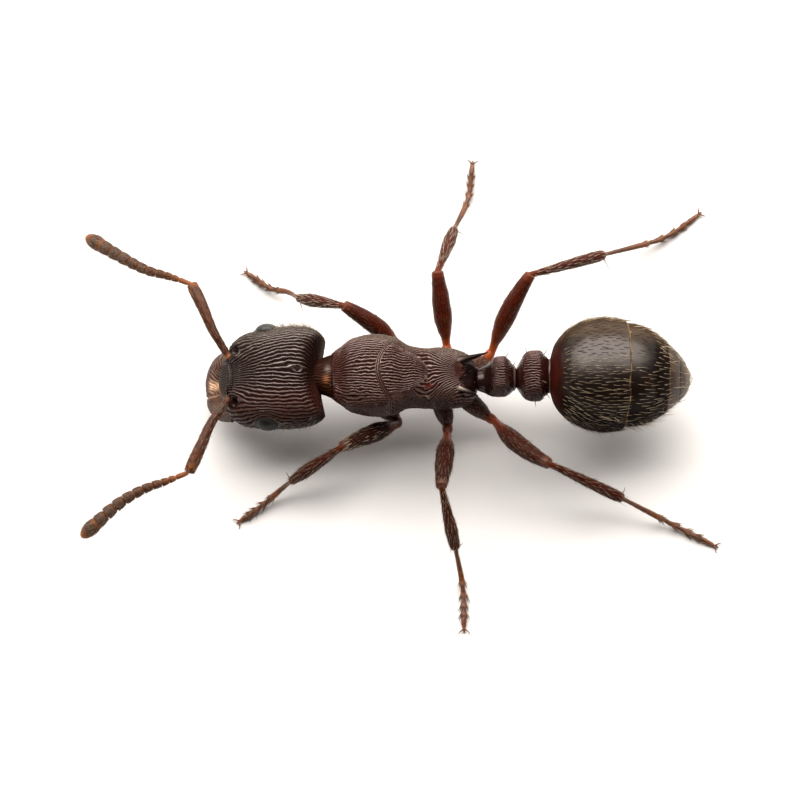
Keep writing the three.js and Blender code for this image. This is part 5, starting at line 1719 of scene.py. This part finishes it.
def feeler_hairs(name, skins):
    """Flat hairs along the scape, a close coat on the lash and club that stands out in a ring at the
    end of each bead, and a few longer curved hairs."""
    rng = np.random.default_rng(HAIR_SEED["feeler"] + (name == "left"))
    rows = skins["scape"].rows(9, 12, 7, lambda f: f["u"] > 0.08)

    def body(f):
        """Away from the pale ends of the beads."""
        return f["marks"][:, 1] < 0.30

    close = [
        strands(rows, rng, 0.085, 0.0048, 0.16, tile=(0, 3), **FLAT_LIE),
        strands(skins["lash"].roots(800, 3, body), rng, 0.030, 0.0052, 0.34, spread=0.35, tile=(1, 3)),
        strands(skins["club"].roots(1300, 4, body), rng, 0.036, 0.0056, 0.34, spread=0.35, tile=(2, 3)),
    ]
    ends = np.cumsum(LASH_SHARES) / np.sum(LASH_SHARES)
    middle = ends[-CLUB_JOINTS - 1]
    fringe = []
    for part, low, high, tile in (("lash", 0.0, middle, 1), ("club", middle, 1.0, 2)):
        count = len(skins[part].rings) - 10
        for k, end in enumerate(ends[(ends > low) & (ends <= high) & (ends < 1)]):
            ring = skins[part].whorl(int(5 + (end - low) / (high - low) * (count - 1)) - 4, 9, 3 * k)
            fringe.append(strands(ring, rng, 0.030, 0.0070, 0.55, spread=0.35, tile=(tile, 3)))
    hairs(f"feeler_{name}_hairs", close, PALE_HAIR)
    hairs(f"feeler_{name}_long_hairs", fringe + [
        strands(skins["scape"].roots(240, 1), rng, 0.045, 0.0036, 0.50, spread=0.25, tile=(0, 3)),
        strands(skins["scape"].roots(44, 2), rng, 0.060, 0.0038, 0.85, spread=0.3, tile=(0, 3)),
        strands(skins["lash"].roots(300, 6), rng, 0.040, 0.0038, 0.60, spread=0.3, tile=(1, 3)),
        strands(skins["club"].roots(500, 7), rng, 0.042, 0.0040, 0.60, spread=0.3, tile=(2, 3)),
        strands(skins["lash"].roots(24, 5), rng, 0.075, 0.0038, 0.95, spread=0.3, curl=0.4, tile=(1, 3)),
    ], BROWN_HAIR)


# ---- building ------------------------------------------------------------------------

head = build_head()
jaws = []
for word, hand in (("left", -1), ("right", 1)):
    build_eye(hand, word)
    jaws.append(build_mandible(hand, word))
build_neck()
pronotum = build_pronotum()
mesonotum = build_mesonotum()
propodeum = build_propodeum()
petiole = build_petiole()
postpetiole = build_postpetiole()
gaster = build_gaster()
head_hairs()
trunk_hairs()
waist_hairs()
gaster_hairs()
for name, leg in LEGS.items():
    leg_hairs(name, build_leg(name, leg))
for name, curves in ANTENNAE.items():
    feeler_hairs(name, build_feeler(name, curves))

# ---- floor, light and camera ---------------------------------------------------------

CENTRE = Vector(SHIFT) * MM
FLOOR_HALF = 250.0
CAMERA = {"elevation": math.radians(76), "lens": 375, "sensor": 36, "distance": 100,
          "target": (0, -0.2489, 0.8)}
SOFT_BOX = {"direction": (-0.06, 0.62, 0.785), "distance": 100, "width": 230, "height": 102,
            "power": 0.43, "colour": (1.0, 0.945, 0.89)}


def build_floor():
    """A plain pale floor through the soles."""
    reach = FLOOR_HALF * MM
    mesh = bpy.data.meshes.new("floor")
    mesh.from_pydata([(x * reach, y * reach, 0.0) for x, y in ((-1, -1), (1, -1), (1, 1), (-1, 1))], [],
                     [(0, 1, 2, 3)])
    net = Net("floor_paper")
    tone = net.noise(1.2, 2.0)
    mesh.materials.append(net.finish(net.mix(tone, rgb(0.90, 0.90, 0.90), rgb(0.93, 0.93, 0.93)), 0.85))
    floor = bpy.data.objects.new("floor", mesh)
    bpy.context.scene.collection.objects.link(floor)


def area_light(name, direction, distance, width, height, power, colour):
    """A soft box at a distance in millimetres, turned to the middle of the model."""
    data = bpy.data.lights.new(name, "AREA")
    data.shape, data.size, data.size_y = "RECTANGLE", width * MM, height * MM
    data.energy, data.color = power, colour
    light = bpy.data.objects.new(name, data)
    aim = Vector(direction).normalized()
    light.location = CENTRE + aim * distance * MM
    light.rotation_euler = aim.to_track_quat("Z", "Y").to_euler()
    bpy.context.scene.collection.objects.link(light)


def build_world(horizon, zenith):
    """Bright round the horizon and dim overhead."""
    world = bpy.data.worlds.new("studio")
    world.use_nodes = True
    tree = world.node_tree
    tree.nodes.clear()
    place = tree.nodes.new("ShaderNodeTexCoord")
    split = tree.nodes.new("ShaderNodeSeparateXYZ")
    ramp = tree.nodes.new("ShaderNodeValToRGB")
    sky = tree.nodes.new("ShaderNodeBackground")
    output = tree.nodes.new("ShaderNodeOutputWorld")
    Net.set_stops(ramp.color_ramp, [(0.0, horizon), (0.12, horizon), (0.35, zenith)])
    tree.links.new(place.outputs["Generated"], split.inputs[0])
    tree.links.new(split.outputs["Z"], ramp.inputs[0])
    tree.links.new(ramp.outputs[0], sky.inputs[0])
    tree.links.new(sky.outputs[0], output.inputs[0])
    bpy.context.scene.world = world


def build_camera():
    """A long lens in front of the model, looking down at the elevation."""
    data = bpy.data.cameras.new("camera")
    data.lens, data.sensor_width = CAMERA["lens"], CAMERA["sensor"]
    data.clip_start, data.clip_end = 0.001, 10
    camera = bpy.data.objects.new("camera", data)
    tilt = CAMERA["elevation"]
    target = CENTRE + Vector(CAMERA["target"]) * MM
    camera.location = target + Vector((0, -math.cos(tilt), math.sin(tilt))) * CAMERA["distance"] * MM
    camera.rotation_euler = (math.pi / 2 - tilt, 0, 0)
    bpy.context.scene.collection.objects.link(camera)
    bpy.context.scene.camera = camera


build_floor()
build_world(rgb(0.26, 0.248, 0.232), rgb(0.012, 0.0105, 0.0095))
area_light("soft_box", **SOFT_BOX)
build_camera()
bpy.context.scene.view_settings.view_transform = "Standard"
